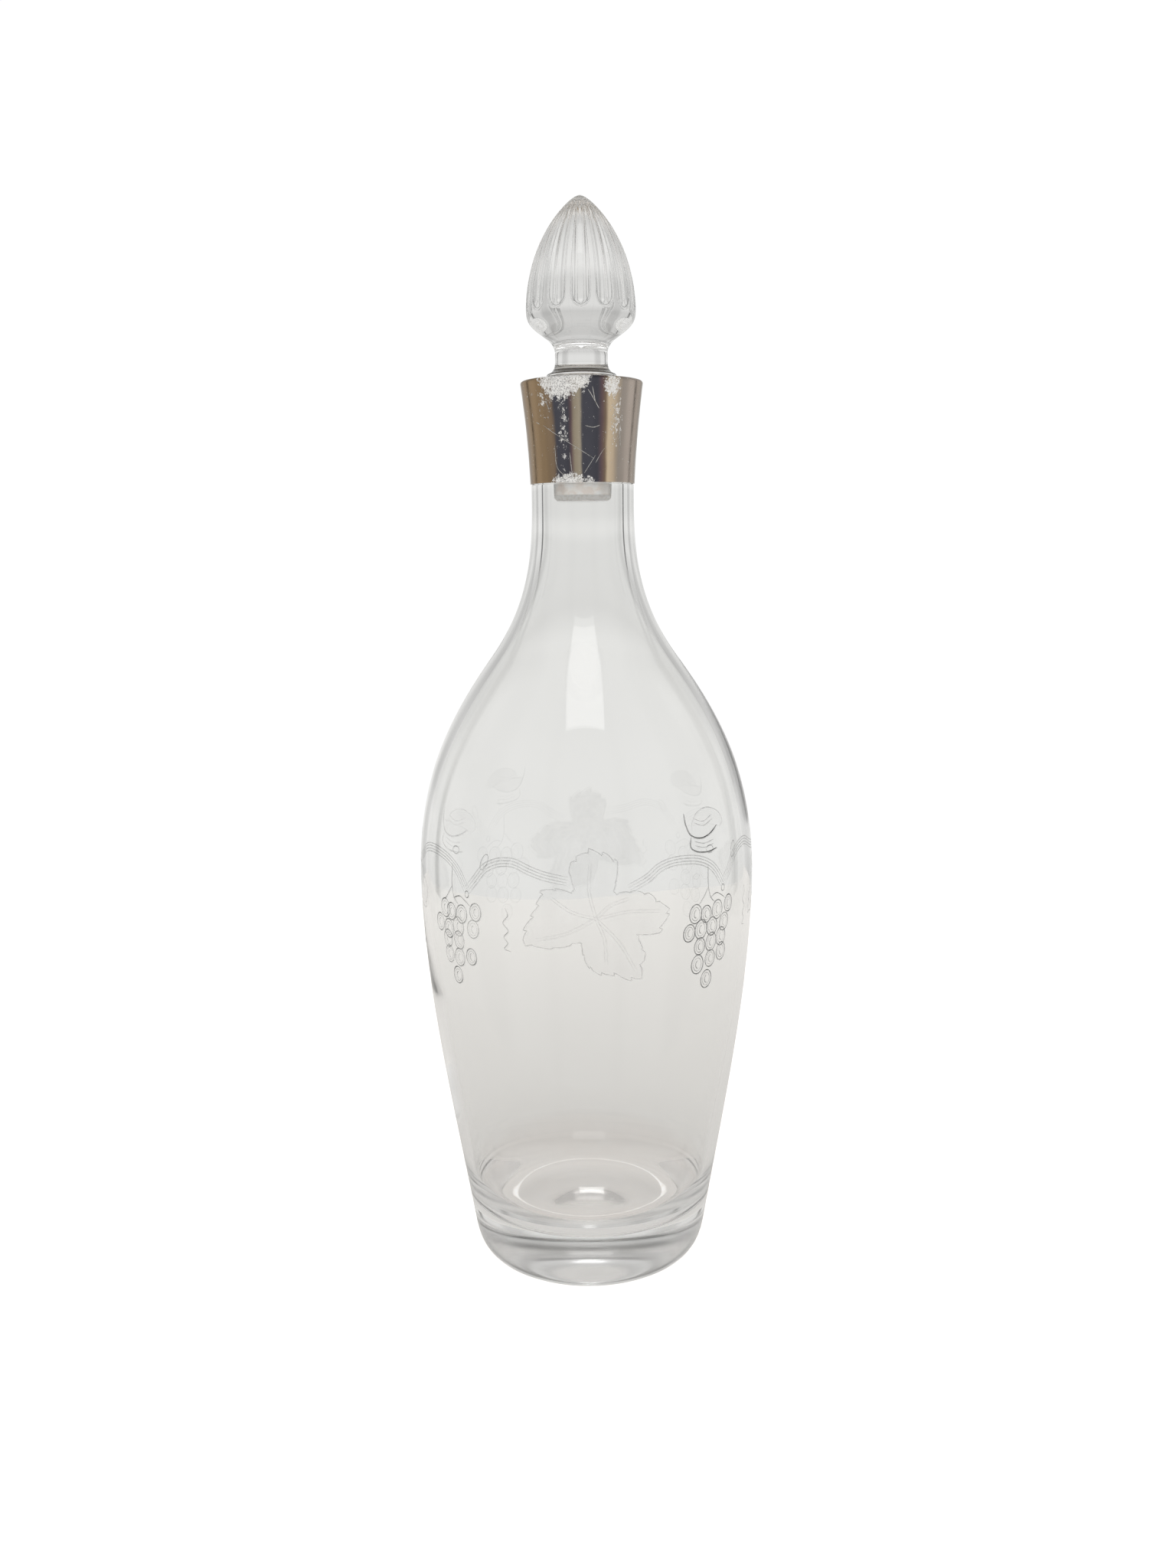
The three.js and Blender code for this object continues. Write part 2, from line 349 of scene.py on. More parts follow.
def bottle_inside():
    """Seat, bore, shoulder, belly and floor, from the lip down to the axis."""
    seat_foot = at(seat_radius(mouth - SEAT_LENGTH), mouth - SEAT_LENGTH)
    bore_top = at(NECK_RADIUS - NECK_WALL, seat_foot[1] - SEAT_FLARE_LENGTH)
    bore_foot = bore_top - at(0, BORE_STRAIGHT)
    shoulder = at(SHOULDER_RADIUS, shoulder_height) + leaning(-SHOULDER_LEAN - 90) * BELLY_WALL
    shoulder_way, wall_way = leaning(180 - SHOULDER_LEAN), leaning(180 + LOWER_WALL_LEAN)
    belly = at(BELLY_RADIUS - BELLY_WALL, belly_height)
    corner_height = FLOOR_THICKNESS + FLOOR_CORNER_HEIGHT
    widening = (corner_height - HEEL_HEIGHT) * math.tan(math.radians(LOWER_WALL_LEAN))
    corner = at(HEEL_RADIUS + widening - LOWER_WALL, corner_height)
    floor_edge = at(corner[0] - FLOOR_CORNER_WIDTH, FLOOR_THICKNESS)
    floor_middle = at(0, FLOOR_THICKNESS + FLOOR_DOME)
    return [
        at(seat_mouth + LIP_BEVEL, mouth),
        at(seat_mouth, mouth - LIP_BEVEL),
        stretch(seat_foot, DOWN, bore_top, DOWN, 0.45, 0.45),
        stretch(bore_foot, DOWN, shoulder, shoulder_way, 0.29, 0.37),
        stretch(shoulder, shoulder_way, belly, DOWN, 0.35, 0.4),
        stretch(belly, DOWN, corner, wall_way, 0.3, 0.33),
        stretch(corner, wall_way, floor_edge, IN, 0.4, 0.4),
        stretch(floor_edge, IN, floor_middle, IN, 0.33, 0.33),
    ]


BOTTLE_STATIONS, BOTTLE_STEPS = 330, 264
FINE_ROUNDING, SOFT_ROUNDING = 0.5, 7
bottle_line = outline(*bottle_outside(), *bottle_inside())
fine_line = rounded(bottle_line, FINE_ROUNDING, closed=False)
soft_line = rounded(bottle_line, SOFT_ROUNDING, closed=False)
near_table = np.clip((3.2 - fine_line[:, 1]) / 1.2, 0, 1)
in_ground_mark = near_table * np.clip((24 - fine_line[:, 0]) / 4, 0, 1)
bottle_line = fine_line + (soft_line - fine_line) * in_ground_mark[:, None]
bottle_profile = stations(bottle_line, BOTTLE_STATIONS)
print("bottle outline", bottle_profile.shape, "widest", round(float(bottle_profile[:, 0].max()), 2))

# %% [markdown]
# The blower's hand shows in the wall, which is never quite even. The inside is pushed in and out
# by a quarter of a millimetre in long slow waves, so that what is seen through the glass bends
# gently. The waves fade out in the neck, where the seat is ground true. A low ring runs round the
# floor, and the outside lies a little lower in the band that is engraved.


# %% Bottle
WALL_WAVES = [(0.16, 2, 31, 0.7), (0.10, 3, -17, 2.1)]


def uneven(grid, profile):
    """The grid with its inside wall moved in and out by two slow waves round and up the bottle.
    They grow over 40 millimetres below the shoulder's height and 30 above the floor."""
    height = grid[..., 2] / MM
    inside = (np.arange(len(profile)) > np.argmax(profile[:, 1]))[:, None]
    below_neck = np.clip((shoulder_height - height) / 40, 0, 1)
    above_floor = np.clip((height - FLOOR_THICKNESS - 6) / 30, 0, 1)
    return pushed(grid, waves(grid, WALL_WAVES) * inside * below_neck * above_floor)


BAND_DEPTH, BAND_LOW, BAND_HIGH = 0.07, 94, 158


def worn_band(height):
    """Depth in millimetres by which the outside lies lower where it is engraved: the full depth
    between the band's two heights, running out over four millimetres above and below."""
    inside = np.minimum(height - BAND_LOW, BAND_HIGH - height) / 4 + 1
    return BAND_DEPTH * np.clip(inside, 0, 1)


RING_RADIUS, RING_WIDTH, RING_RISE = 12.4, 1.8, 0.12
lip_station = np.argmax(bottle_profile[:, 1])
bottle_profile[:lip_station, 0] -= worn_band(bottle_profile[:lip_station, 1])
inside_radius = bottle_profile[lip_station:, 0]
on_floor = bottle_profile[lip_station:, 1] < FLOOR_THICKNESS + FLOOR_DOME + 0.1
ring = RING_RISE * np.exp(-(((inside_radius - RING_RADIUS) / RING_WIDTH) ** 2)) * on_floor
bottle_profile[lip_station:, 1] += ring
bottle_grid = uneven(turned(bottle_profile, full_circle(BOTTLE_STEPS)), bottle_profile)
bottle = skin("bottle_glass", bottle_grid, "bottle")
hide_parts("glass_body")

# %% [markdown]
# ## The stopper
#
# The stopper is one piece of solid glass: a peg that is ground to fit the neck, a thin bead that
# sits on the lip, a waist, and a bud like a closed flower with fourteen hollow flutes. Each flute
# is cut with a round wheel, so it is hollow across, has a crisp edge, and ends below in a round
# arch. The flutes could be cut by booleans, but a depth worked out for every point of the grid
# gives a clean mesh with its rows of points along the edges.

# %% Sizes of the stopper, in millimetres
PEG_LENGTH, PEG_BEVEL = 34.3, 0.9
BEAD_OVERHANG, BEAD_FOOT, BEAD_ROUND = 0.3, 1.5, 1.5
WAIST_RADIUS, WAIST_FOOT, WAIST_TOP = 7.9, 7, 9
BUD_RADIUS, BUD_WIDEST, BUD_TIP = 16.35, 20.6, 53.9
FLUTE_COUNT, FLUTE_DEPTH, FLUTE_FOOT = 14, 0.9, -0.6
FLUTE_SHARE, FLUTE_ARCH = 0.79, 4.2
flute_foot = mouth + BUD_WIDEST + FLUTE_FOOT
print(FLUTE_COUNT, "flutes from", round(flute_foot, 1), "to", round(mouth + BUD_TIP, 1), "mm up")


# %% Stopper
def stopper_outline():
    """Peg, bead, waist and bud, from the axis under the peg to the tip."""
    peg_foot, peg_top = mouth - PEG_LENGTH, mouth + CLEARANCE
    peg_foot_radius = seat_radius(peg_foot) - CLEARANCE
    bead = at(seat_mouth + BEAD_OVERHANG, mouth + BEAD_FOOT)
    bead_top = at(bead[0] - BEAD_ROUND / 3, bead[1] + BEAD_ROUND)
    waist_foot = at(WAIST_RADIUS, mouth + WAIST_FOOT)
    waist_top = at(WAIST_RADIUS, mouth + WAIST_TOP)
    widest = at(BUD_RADIUS, mouth + BUD_WIDEST)
    return outline(
        at(0, peg_foot),
        at(peg_foot_radius - PEG_BEVEL, peg_foot),
        at(peg_foot_radius, peg_foot + PEG_BEVEL),
        at(seat_radius(peg_top) - CLEARANCE, peg_top),
        stretch(bead, UP, bead_top, leaning(-60), 0.4, 0.4),
        stretch(bead_top, leaning(-70), waist_foot, UP, 0.4, 0.5),
        stretch(waist_top, UP, widest, UP, 0.37, 0.41),
        stretch(widest, UP, at(0, mouth + BUD_TIP), IN, 0.57, 0.08),
    )


def fluted(grid):
    """The grid with the flutes pressed in. Across a flute the depth is one minus the square of
    the distance from its middle, as a share of its half width. Towards its foot the half width
    shrinks as a circle does. The depth goes with the radius, and fades in the last millimetres
    below the tip."""
    angle = direction_of(grid) * FLUTE_COUNT / (2 * math.pi)
    across = 2 * (angle - np.round(angle)) / FLUTE_SHARE
    rise = grid[..., 2] / MM - flute_foot
    width = 1 - (np.clip(FLUTE_ARCH - rise, 0, FLUTE_ARCH) / FLUTE_ARCH) ** 2
    fade = np.clip((mouth + BUD_TIP - 0.6 - grid[..., 2] / MM) / 7, 0, 1)
    depth = FLUTE_DEPTH / BUD_RADIUS * np.clip(width - across**2, 0, 1) * fade
    pressed = grid.copy()
    pressed[..., :2] *= (1 - depth)[..., None]
    return pressed


STOPPER_STATIONS, STEPS_PER_FLUTE = 282, 25
stopper_profile = stations(rounded(stopper_outline(), 0.5, closed=False), STOPPER_STATIONS, 1.2)
stopper_grid = fluted(turned(stopper_profile, full_circle(FLUTE_COUNT * STEPS_PER_FLUTE)))
stopper = skin("fluted_stopper", stopper_grid, "stopper")
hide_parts("stopper")

# %% [markdown]
# ## The collar
#
# The collar is a flared sleeve of thin metal with its top edge turned in over the lip. It is one
# closed ring of sheet, rounded at each edge. Years of use have dented it, so the sheet gets a very
# slight swell that makes its reflections wander.


# %% Collar
def collar_side(inset):
    """The flared side, drawn inwards of its outer face by an inset."""
    foot_radius = collared_radius + CLEARANCE + COLLAR_SHEET
    foot = at(foot_radius - inset, collar_foot)
    top = at(foot_radius + COLLAR_FLARE - inset, collar_top - COLLAR_RIM_ROUND)
    foot_way, top_way = leaning(COLLAR_FOOT_LEAN), leaning(COLLAR_TOP_LEAN)
    return stretch(foot, foot_way, top, top_way, 0.35, 0.35)


def collar_outline():
    """Outer face, rounded rim, lid over the lip, and the back of the sheet down to the foot."""
    face, back = collar_side(0), collar_side(COLLAR_SHEET)[::-1]
    round_end = face[-1][0] - COLLAR_RIM_ROUND
    lid_edge = collared_radius - COLLAR_LID_REACH
    rim = stretch(face[-1], leaning(COLLAR_TOP_LEAN), at(round_end, collar_top), IN, 0.4, 0.4, 12)
    lid = [at(lid_edge, collar_top), at(lid_edge, lid_foot), at(round_end, lid_foot)]
    return outline(face, rim, *lid, back, face[:1])


COLLAR_STATIONS, COLLAR_STEPS = 170, 192
DENT_DEPTH, DENTS = 0.03, [(1, 5, 6, 0), (1, 2, math.inf, 0), (0.7, 9, -9, 1)]
collar_profile = stations(rounded(collar_outline(), 0.3, closed=True), COLLAR_STATIONS, 1.5)[:-1]
collar_grid = turned(collar_profile, full_circle(COLLAR_STEPS))
collar_grid = pushed(collar_grid, DENT_DEPTH * waves(collar_grid, DENTS))
collar = skin("collar_sleeve", collar_grid, "bottle", ring=True)
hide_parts("neck_collar")


# %% [markdown]
# ## The engraved vine
#
# A vine is cut round the belly by hand with a small copper wheel: a branch of four lines swings
# from fork to fork, a broad leaf hangs in the middle of each swing, and a bunch of grapes, a
# tendril and a little folded leaf hang near each fork. The hand shows in the spacing, so the forks
# stand at their own angles, not every 90 degrees.
#
# The cuts are too fine for the bottle's mesh, and a bump texture could not follow such a drawing.
# So each cut is a thin ribbon that lies on the glass, and each leaf is a thin matt patch.

# %% Places on the side of the bottle
FORK_ANGLES = [-41.7, 50.0, 141.3, 221.9]
side_line = outline(*bottle_outside()[2:5])


def on_side(around, height, lift):
    """Points in metres on the engraved side: how far round from the front and how high, both in
    millimetres measured on the belly, and lifted off the worn band by a few hundredths."""
    radius = np.interp(height, side_line[:, 1], side_line[:, 0]) - worn_band(height) + lift
    return placed(around / BELLY_RADIUS, radius, height)


def swept(points, spacing=0.35, closed=False):
    """A smooth line through the points, by Catmull and Rom: each piece leaves and arrives in the
    direction of its neighbours on either side."""
    p = np.asarray(points, float)
    ends = (p[-1:], p[:2]) if closed else (2 * p[:1] - p[1:2], 2 * p[-1:] - p[-2:-1])
    p = np.vstack([ends[0], p, ends[1]])
    t = np.linspace(0, 1, 12, endpoint=False)[:, None, None]
    a, b, c, d = p[:-3], p[1:-2], p[2:-1], p[3:]
    square, cube = 2 * a - 5 * b + 4 * c - d, 3 * b - 3 * c + d - a
    line = 0.5 * (2 * b + (c - a) * t + square * t**2 + cube * t**3)
    line = line.transpose(1, 0, 2).reshape(-1, 2)
    return evenly(np.vstack([line, line[:1] if closed else p[-2:-1]]), spacing)


def beside(path, distance):
    """The path moved sideways, to its left, by a distance."""
    way = np.gradient(path, axis=0)
    way /= np.linalg.norm(way, axis=1)[:, None]
    return path + distance * np.stack([-way[:, 1], way[:, 0]], 1)


fork_steps = [round(float(step), 1) for step in (np.roll(FORK_ANGLES, -1) - FORK_ANGLES) % 360]
print("fork to fork:", fork_steps)

# %% [markdown]
# The broad leaf is drawn from its middle: one radius for each direction, with five lobes and deep
# bays between them. Small teeth are added as a saw wave. One function gives both the edge line
# and the frosted patch, so that the two always agree.

# %% Broad leaf
LEAF_MIDDLE_SHARE, LEAF_HEIGHT = 0.484, 125.2
LEAF_TEETH, TOOTH_DEPTH = 30, 0.07
LEAF_EDGE = [
    (-70, 18.6), (-64, 21.0), (-58, 22.8), (-54, 23.6), (-49, 20.8), (-43, 20.0), (-36, 18.0),
    (-29, 14.6), (-24, 13.6), (-20, 17.2), (-16, 20.2), (-8, 21.0), (-2, 22.0), (3, 23.0),
    (9, 20.0), (18, 18.2), (27, 15.8), (38, 12.4), (48, 9.6), (56, 9.4), (62, 13.8), (68, 17.6),
    (77, 18.8), (86, 19.4), (95, 20.2), (104, 19.0), (113, 18.0), (119, 15.4), (125, 10.6),
    (131, 10.2), (138, 12.6), (146, 15.6), (153, 17.6), (163, 17.4), (172, 17.8), (180, 19.0),
    (190, 21.4), (198, 22.8), (203, 22.4), (209, 18.6), (218, 14.6), (228, 10.4), (237, 8.2),
    (246, 9.8), (256, 13.2), (266, 15.8), (276, 17.2), (283, 17.6), (290, 18.6),
]
LEAF_VEINS = [(95, 16), (3, 19), (-54, 19.5), (201, 18.5), (155, 14), (-78, 14), (30, 11)]


def leaf_radius(direction):
    """Distance from the leaf's middle to its edge for directions in degrees: straight lines
    between the stations of the edge, and teeth that swell and then fall back sharply."""
    edge = np.array(LEAF_EDGE)
    radius = np.interp((direction + 70) % 360 - 70, edge[:, 0], edge[:, 1])
    tooth = (direction * LEAF_TEETH / 360) % 1
    return radius * (1 - TOOTH_DEPTH * (1 - np.sqrt(tooth)))


def towards(direction):
    """The step of one millimetre, right and up, in a direction in degrees."""
    return np.stack([np.cos(np.radians(direction)), np.sin(np.radians(direction))], -1)


round_leaf = np.arange(-180, 180)
leaf_rim = leaf_radius(round_leaf)[:, None] * towards(round_leaf)
print("leaf", (leaf_rim.max(0) - leaf_rim.min(0)).round(1), "mm wide and high")

# %% [markdown]
# A grape is an oval with a second line just inside it, and a small crescent for its shine. The
# places are those of the two bunches that face the camera, right and up from their fork, and they
# serve the two at the back as well.

# %% Grapes
GRAPES_LEFT = [
    (-10.6, 123.3), (-7.4, 122.8), (-2.6, 122.8), (3.3, 124.3), (-14.0, 118.3), (-9.1, 117.2),
    (-4.3, 118.7), (2.1, 119.0), (-9.9, 114.0), (-4.3, 114.5), (-9.6, 109.2), (-4.5, 109.2),
    (0.8, 110.3), (-6.1, 103.3),
]
GRAPES_RIGHT = [
    (-11.9, 123.3), (-7.6, 122.6), (-2.7, 123.1), (2.9, 123.9), (-14.2, 117.9), (-9.7, 118.3),
    (-5.0, 118.4), (0.7, 118.7), (-10.0, 113.2), (-5.2, 113.7), (-0.6, 114.4), (-10.6, 107.7),
    (-5.3, 108.6), (-0.2, 109.7), (-6.5, 102.4),
]
GRAPE_WIDTH, GRAPE_HEIGHT = 4.5, 5.5


def oval(middle, width, height, tilt=0.0, start=0, end=360):
    """Part of an ellipse round a middle, tilted by some degrees, from one direction to another."""
    turn = np.radians(np.linspace(start, end, max(10, int((end - start) / 15))))
    right, up = width / 2 * np.cos(turn), height / 2 * np.sin(turn)
    c, s = math.cos(math.radians(tilt)), math.sin(math.radians(tilt))
    return np.stack([middle[0] + right * c - up * s, middle[1] + right * s + up * c], 1)


# %% [markdown]
# Now the whole drawing. Each stroke is a path with a width, and a value that says how hard the
# wheel was pressed: a leaf's veins are hardly scratched, and the grapes are cut deep.

# %% Strokes
hand = np.random.default_rng(7)
strokes = []


def cut(path, width, pressure, closed=False):
    """Keeps a stroke for the ribbons."""
    strokes.append((np.asarray(path, float), width, pressure, closed))


BRANCH = [
    (0, 130.4), (0.037, 133.8), (0.078, 137.7), (0.125, 139.8), (0.171, 140.5), (0.207, 140.2),
    (0.261, 138.5), (0.313, 137.2), (0.39, 136.0),
]
BRANCH_ON = [
    (0.60, 133.4), (0.666, 136.0), (0.713, 138.7), (0.771, 139.9), (0.849, 139.6), (0.91, 138.1),
    (0.958, 135.3), (1, 130.4),
]
BRANCH_LINES, VEIN_LINES = (-1.25, -0.45, 0.4, 1.2), (0.38, -0.38)
KNOTS = [
    ((0, 129.2), (1.5, 2.0), 0.32, 0.6), ((-5.4, 141.6), (3.0, 2.2), 0.3, 0.45),
    ((6.6, 139.6), (2.2, 5.0, -24), 0.3, 0.5),
]
STALKS = [
    ([(-6.6, 137.4), (-6.8, 131.5), (-5.9, 127.6), (-3.6, 125.3)], 0.34, 0.7),
    ([(-6.8, 130.6), (-8.8, 127.9), (-10.8, 125.8)], 0.32, 0.6),
    ([(-6.1, 127.2), (-3.2, 128.2), (-0.6, 127.0), (1.2, 125.8)], 0.32, 0.6),
]
TENDRIL = [
    (14.0, 127.1), (14.8, 124.9), (13.2, 122.6), (14.9, 120.4), (13.4, 118.4), (14.6, 116.6),
    (13.4, 114.9), (15.6, 114.2),
]
FOLD_UPPER = [
    (-14.4, 152.9), (-14.1, 149.6), (-12.4, 146.4), (-8.6, 145.2), (-4.6, 146.0), (-0.9, 148.0),
]
FOLD_LOWER = [(-12.6, 145.9), (-13.0, 143.2), (-10.6, 141.5), (-6.0, 140.9), (-2.0, 141.5)]
FOLD_CREST = [
    (-12.2, 149.0), (-9.4, 152.4), (-4.6, 153.6), (0.4, 151.9), (2.2, 149.0), (0.2, 147.2),
]
FOLD_STROKES = [
    (FOLD_UPPER, 0.55, 1), (FOLD_LOWER, 0.5, 0.95), (FOLD_CREST, 0.28, 0.3),
    ([(-11.4, 144.6), (-7.6, 143.6), (-3.4, 144.1)], 0.26, 0.4),
    ([(-10.9, 149.9), (-7.0, 148.7), (-2.6, 150.1)], 0.26, 0.35),
    ([(-11.4, 143.4), (-7.6, 142.4), (-3.4, 142.9)], 0.26, 0.4),
    ([(-10.9, 151.1), (-7.0, 149.9), (-2.6, 151.3)], 0.26, 0.35),
]
FOLD_PRESSURE = [0.2, 1.0, 0.6, 0.6]
BUNCH_PRESSURE = [0.7, 1.0, 0.8, 0.8]

leaf_middles = []
for number, angle in enumerate(FORK_ANGLES):
    here = math.radians(angle) * BELLY_RADIUS
    length = math.radians((FORK_ANGLES[(number + 1) % 4] - angle) % 360) * BELLY_RADIUS
    fork = np.array([here, 0])

    for part in (BRANCH, BRANCH_ON):
        branch = swept(np.array(part) * [length, 1] + fork)
        for distance in BRANCH_LINES:
            cut(beside(branch, distance), 0.3, 0.36)
    for place, shape, width, press in KNOTS:
        cut(oval(fork + place, *shape), width, press, closed=True)

    for points, width, press in STALKS:
        cut(swept(np.array(points) + fork), width, press)
    for right, up in (GRAPES_RIGHT if number % 2 else GRAPES_LEFT):
        tilt, size = hand.uniform(-14, 6), hand.uniform(0.93, 1.06)
        middle = np.array([here + right, up])
        width, height = GRAPE_WIDTH * size, GRAPE_HEIGHT * size
        press = hand.uniform(0.6, 0.95) * BUNCH_PRESSURE[number]
        cut(oval(middle, width, height, tilt), 0.4, press, closed=True)
        cut(oval(middle, width * 0.66, height * 0.7, tilt), 0.26, press * 0.55, closed=True)
        cut(oval(middle + [0.2, 0], width * 0.36, height * 0.42, tilt, 95, 285), 0.3, press * 0.8)

    cut(swept(np.array(TENDRIL) + fork), 0.3, 0.5)
    for points, width, press in FOLD_STROKES:
        cut(swept(np.array(points) + fork), width, press * FOLD_PRESSURE[number])

    middle = np.array([here + LEAF_MIDDLE_SHARE * length, LEAF_HEIGHT])
    leaf_middles.append(middle)
    cut(leaf_rim + middle, 0.3, 0.34, closed=True)
    for direction, reach in LEAF_VEINS:
        end = middle + reach * towards(direction)
        bow = 1.1 * towards(direction + 90)
        vein = swept([middle, (middle + end) / 2 + bow, end], 0.6)
        for distance in VEIN_LINES:
            cut(beside(vein, distance), 0.24, 0.14)

print(len(strokes), "strokes,", len(leaf_middles), "broad leaves")

# %% [markdown]
# A ribbon is four lines of points along its path: both edges on the glass, the crown just above
# it and the keel just below. Light from the left makes one flank of a real cut dark and the other
# bright, so every stroke is laid twice: a dark ribbon, and a bright one a quarter of a millimetre
# beside it.

# %% Ribbons
EDGE_LIFT, KEEL_LIFT, CROWN_LIFT = 0.004, -0.01, 0.045


def ribbon(path, width, closed, surface=on_side):
    """The four lines of one ribbon and its faces. A closed path ends where it starts, and an open
    one goes narrow towards both ends."""
    if closed and np.linalg.norm(path[0] - path[-1]) < 1e-6:
        path = path[:-1]
    if closed:
        way = np.roll(path, -1, axis=0) - np.roll(path, 1, axis=0)
    else:
        way = np.gradient(path, axis=0)
        share = np.linspace(0, 1, len(path))
        width = width * np.clip(6 * share * (1 - share) + 0.3, 0, 1)
    way /= np.linalg.norm(way, axis=1)[:, None]
    across = np.stack([-way[:, 1], way[:, 0]], 1) * (width / 2 * np.ones(len(path)))[:, None]
    edges = [(path + across, EDGE_LIFT), (path, KEEL_LIFT)]
    edges += [(path - across, EDGE_LIFT), (path, CROWN_LIFT)]
    points = np.stack([surface(line[:, 0], line[:, 1], lift) for line, lift in edges], 1)
    faces = quads(len(path), 4, closed, True)[:, ::-1]
    if not closed:
        last = (len(path) - 1) * 4
        faces = np.vstack([faces, [[0, 1, 2, 3]], [[last + 3, last + 2, last + 1, last]]])
    return points.reshape(-1, 3), faces


def joined(name, strips, body, pressures=()):
    """One mesh of many ribbons. Where pressures are given, an array for each ribbon, its points
    keep them for the finish to read."""
    firsts = np.cumsum([0] + [len(points) for points, _ in strips])
    faces = np.vstack([faces + first for (_, faces), first in zip(strips, firsts)])
    piece = mesh_object(name, np.vstack([points for points, _ in strips]), faces.tolist(), body)
    if len(pressures):
        attribute = piece.data.attributes.new("pressure", "FLOAT", "POINT")
        attribute.data.foreach_set("value", np.concatenate(pressures))
    return piece


def ribbons(name, shift, widening, least, gain):
    """All the strokes as one mesh, moved by a shift. Its points keep the least pressure plus the
    gain times the pressure of their stroke."""
    strips, pressures = [], []
    for path, width, press, closed in strokes:
        strips.append(ribbon(path + shift, width * widening, closed))
        pressures.append(np.full(len(strips[-1][0]), least + gain * press))
    piece = joined(name, strips, "bottle", pressures)
    slots = np.concatenate([np.resize([1, 1, 0, 0], len(faces)) for _, faces in strips])
    piece.data.polygons.foreach_set("material_index", slots.astype(np.int32))
    return piece


# The dark ribbons lie on the cuts and carry their painted shade; the bright ones are painted
# highlight.
cut_ribbons_painted_shade = ribbons("vine_cuts_painted_shade", np.array([0.0, 0.0]), 0.8, 0, 1)
cut_ribbons_painted_highlight = ribbons("vine_cuts_painted_highlight", np.array([0.24, -0.2]), 0.75, 0.15, 0.7)


# %% Frosted leaves
TOP_LIFT, UNDERSIDE_LIFT = 0.022, 0.006


def leaf_patch(number, outline_points, middle):
    """A thin closed patch: from a middle out to the edge on top, and back underneath. The edge is
    followed clockwise, so that the faces look outwards."""
    share = np.array([0, 0.2, 0.4, 0.6, 0.8, 0.97, 0.97, 0.8, 0.6, 0.4, 0.2, 0])
    lift = np.repeat([TOP_LIFT, UNDERSIDE_LIFT], 6)
    place = middle + share[:, None, None] * (outline_points[::-1] - middle)[None]
    grid = on_side(place[..., 0], place[..., 1], lift[:, None])
    piece = skin(f"vine_leaf_{number}", grid, "bottle")
    steps = len(outline_points)
    slots = np.repeat([0] * 5 + [1] * 4 + [0, 1], steps)
    piece.data.polygons.foreach_set("material_index", slots.astype(np.int32))
    return piece


edges = [(leaf_rim + middle, middle) for middle in leaf_middles]
for angle in FORK_ANGLES:
    fork = np.array([math.radians(angle) * BELLY_RADIUS, 0])
    fold = swept(FOLD_UPPER[1:] + FOLD_CREST[::-1], 0.6, closed=True)[:-1] + fork
    edges.append((fold, fold.mean(0)))
leaf_patches = [leaf_patch(number + 1, *edge) for number, edge in enumerate(edges)]

# %% [markdown]
# Each flute's edge gets a fine painted highlight with a painted shade beside it, clearest round the
# arch at its foot, where the cut's rounded edge catches the light. They are laid on the bud as two
# ribbons side by side, a bright one and a dark one.

# %% Flute edges
FLUTE_EDGE_TOP, BUD_LINE_FOOT = 24, 12
bud_line = stopper_profile[stopper_profile[:, 1] > mouth + BUD_LINE_FOOT]


def on_bud(around, height, lift):
    """Points in metres on the fluted bud, the way round being measured on its widest ring."""
    radius = np.interp(height, bud_line[:, 1], bud_line[:, 0]) + lift + 0.02
    return fluted(placed(around / BUD_RADIUS, radius, height))


def flute_edges(name, inset, width):
    """The edges of all flutes as one mesh, moved into the flute by a share of its half width. An
    edge runs down one side, round the arch as a circle does, and up the other side. It covers most
    round the arch, and a fifth as much from seven millimetres above it."""
    turn = np.radians(np.linspace(-90, 90, 25))
    side = np.linspace(FLUTE_EDGE_TOP, FLUTE_ARCH, 40)
    across = np.concatenate([-np.ones(40), np.sin(turn), np.ones(40)]) * (1 - inset)
    rise = np.concatenate([side, FLUTE_ARCH * (1 - (1 - inset) * np.cos(turn)), side[::-1]])
    strips, pressures = [], []
    for number in range(FLUTE_COUNT):
        around = (number + across * FLUTE_SHARE / 2) * 2 * math.pi / FLUTE_COUNT * BUD_RADIUS
        path = evenly(outline(np.stack([around, rise + flute_foot], 1)), 0.4)
        strips.append(ribbon(path, width, False, on_bud))
        above_arch = path[:, 1] - flute_foot - FLUTE_ARCH
        pressures.append(np.repeat(0.2 + 0.8 * np.clip(1 - above_arch / 7, 0, 1), 4))
    piece = joined(name, strips, "stopper", pressures)
    return piece


# Painted highlight and painted shade along the flutes' edges.
flute_highlight_ribbons = flute_edges("flute_edges_painted_highlight", 0.0, 0.32)
flute_shade_ribbons = flute_edges("flute_edges_painted_shade", 0.16, 0.26)

# %% [markdown]
# ## Materials
#
# Every finish starts from the Principled shader. Two small classes make the nodes, so that each
# material below reads as a list of its own layers.


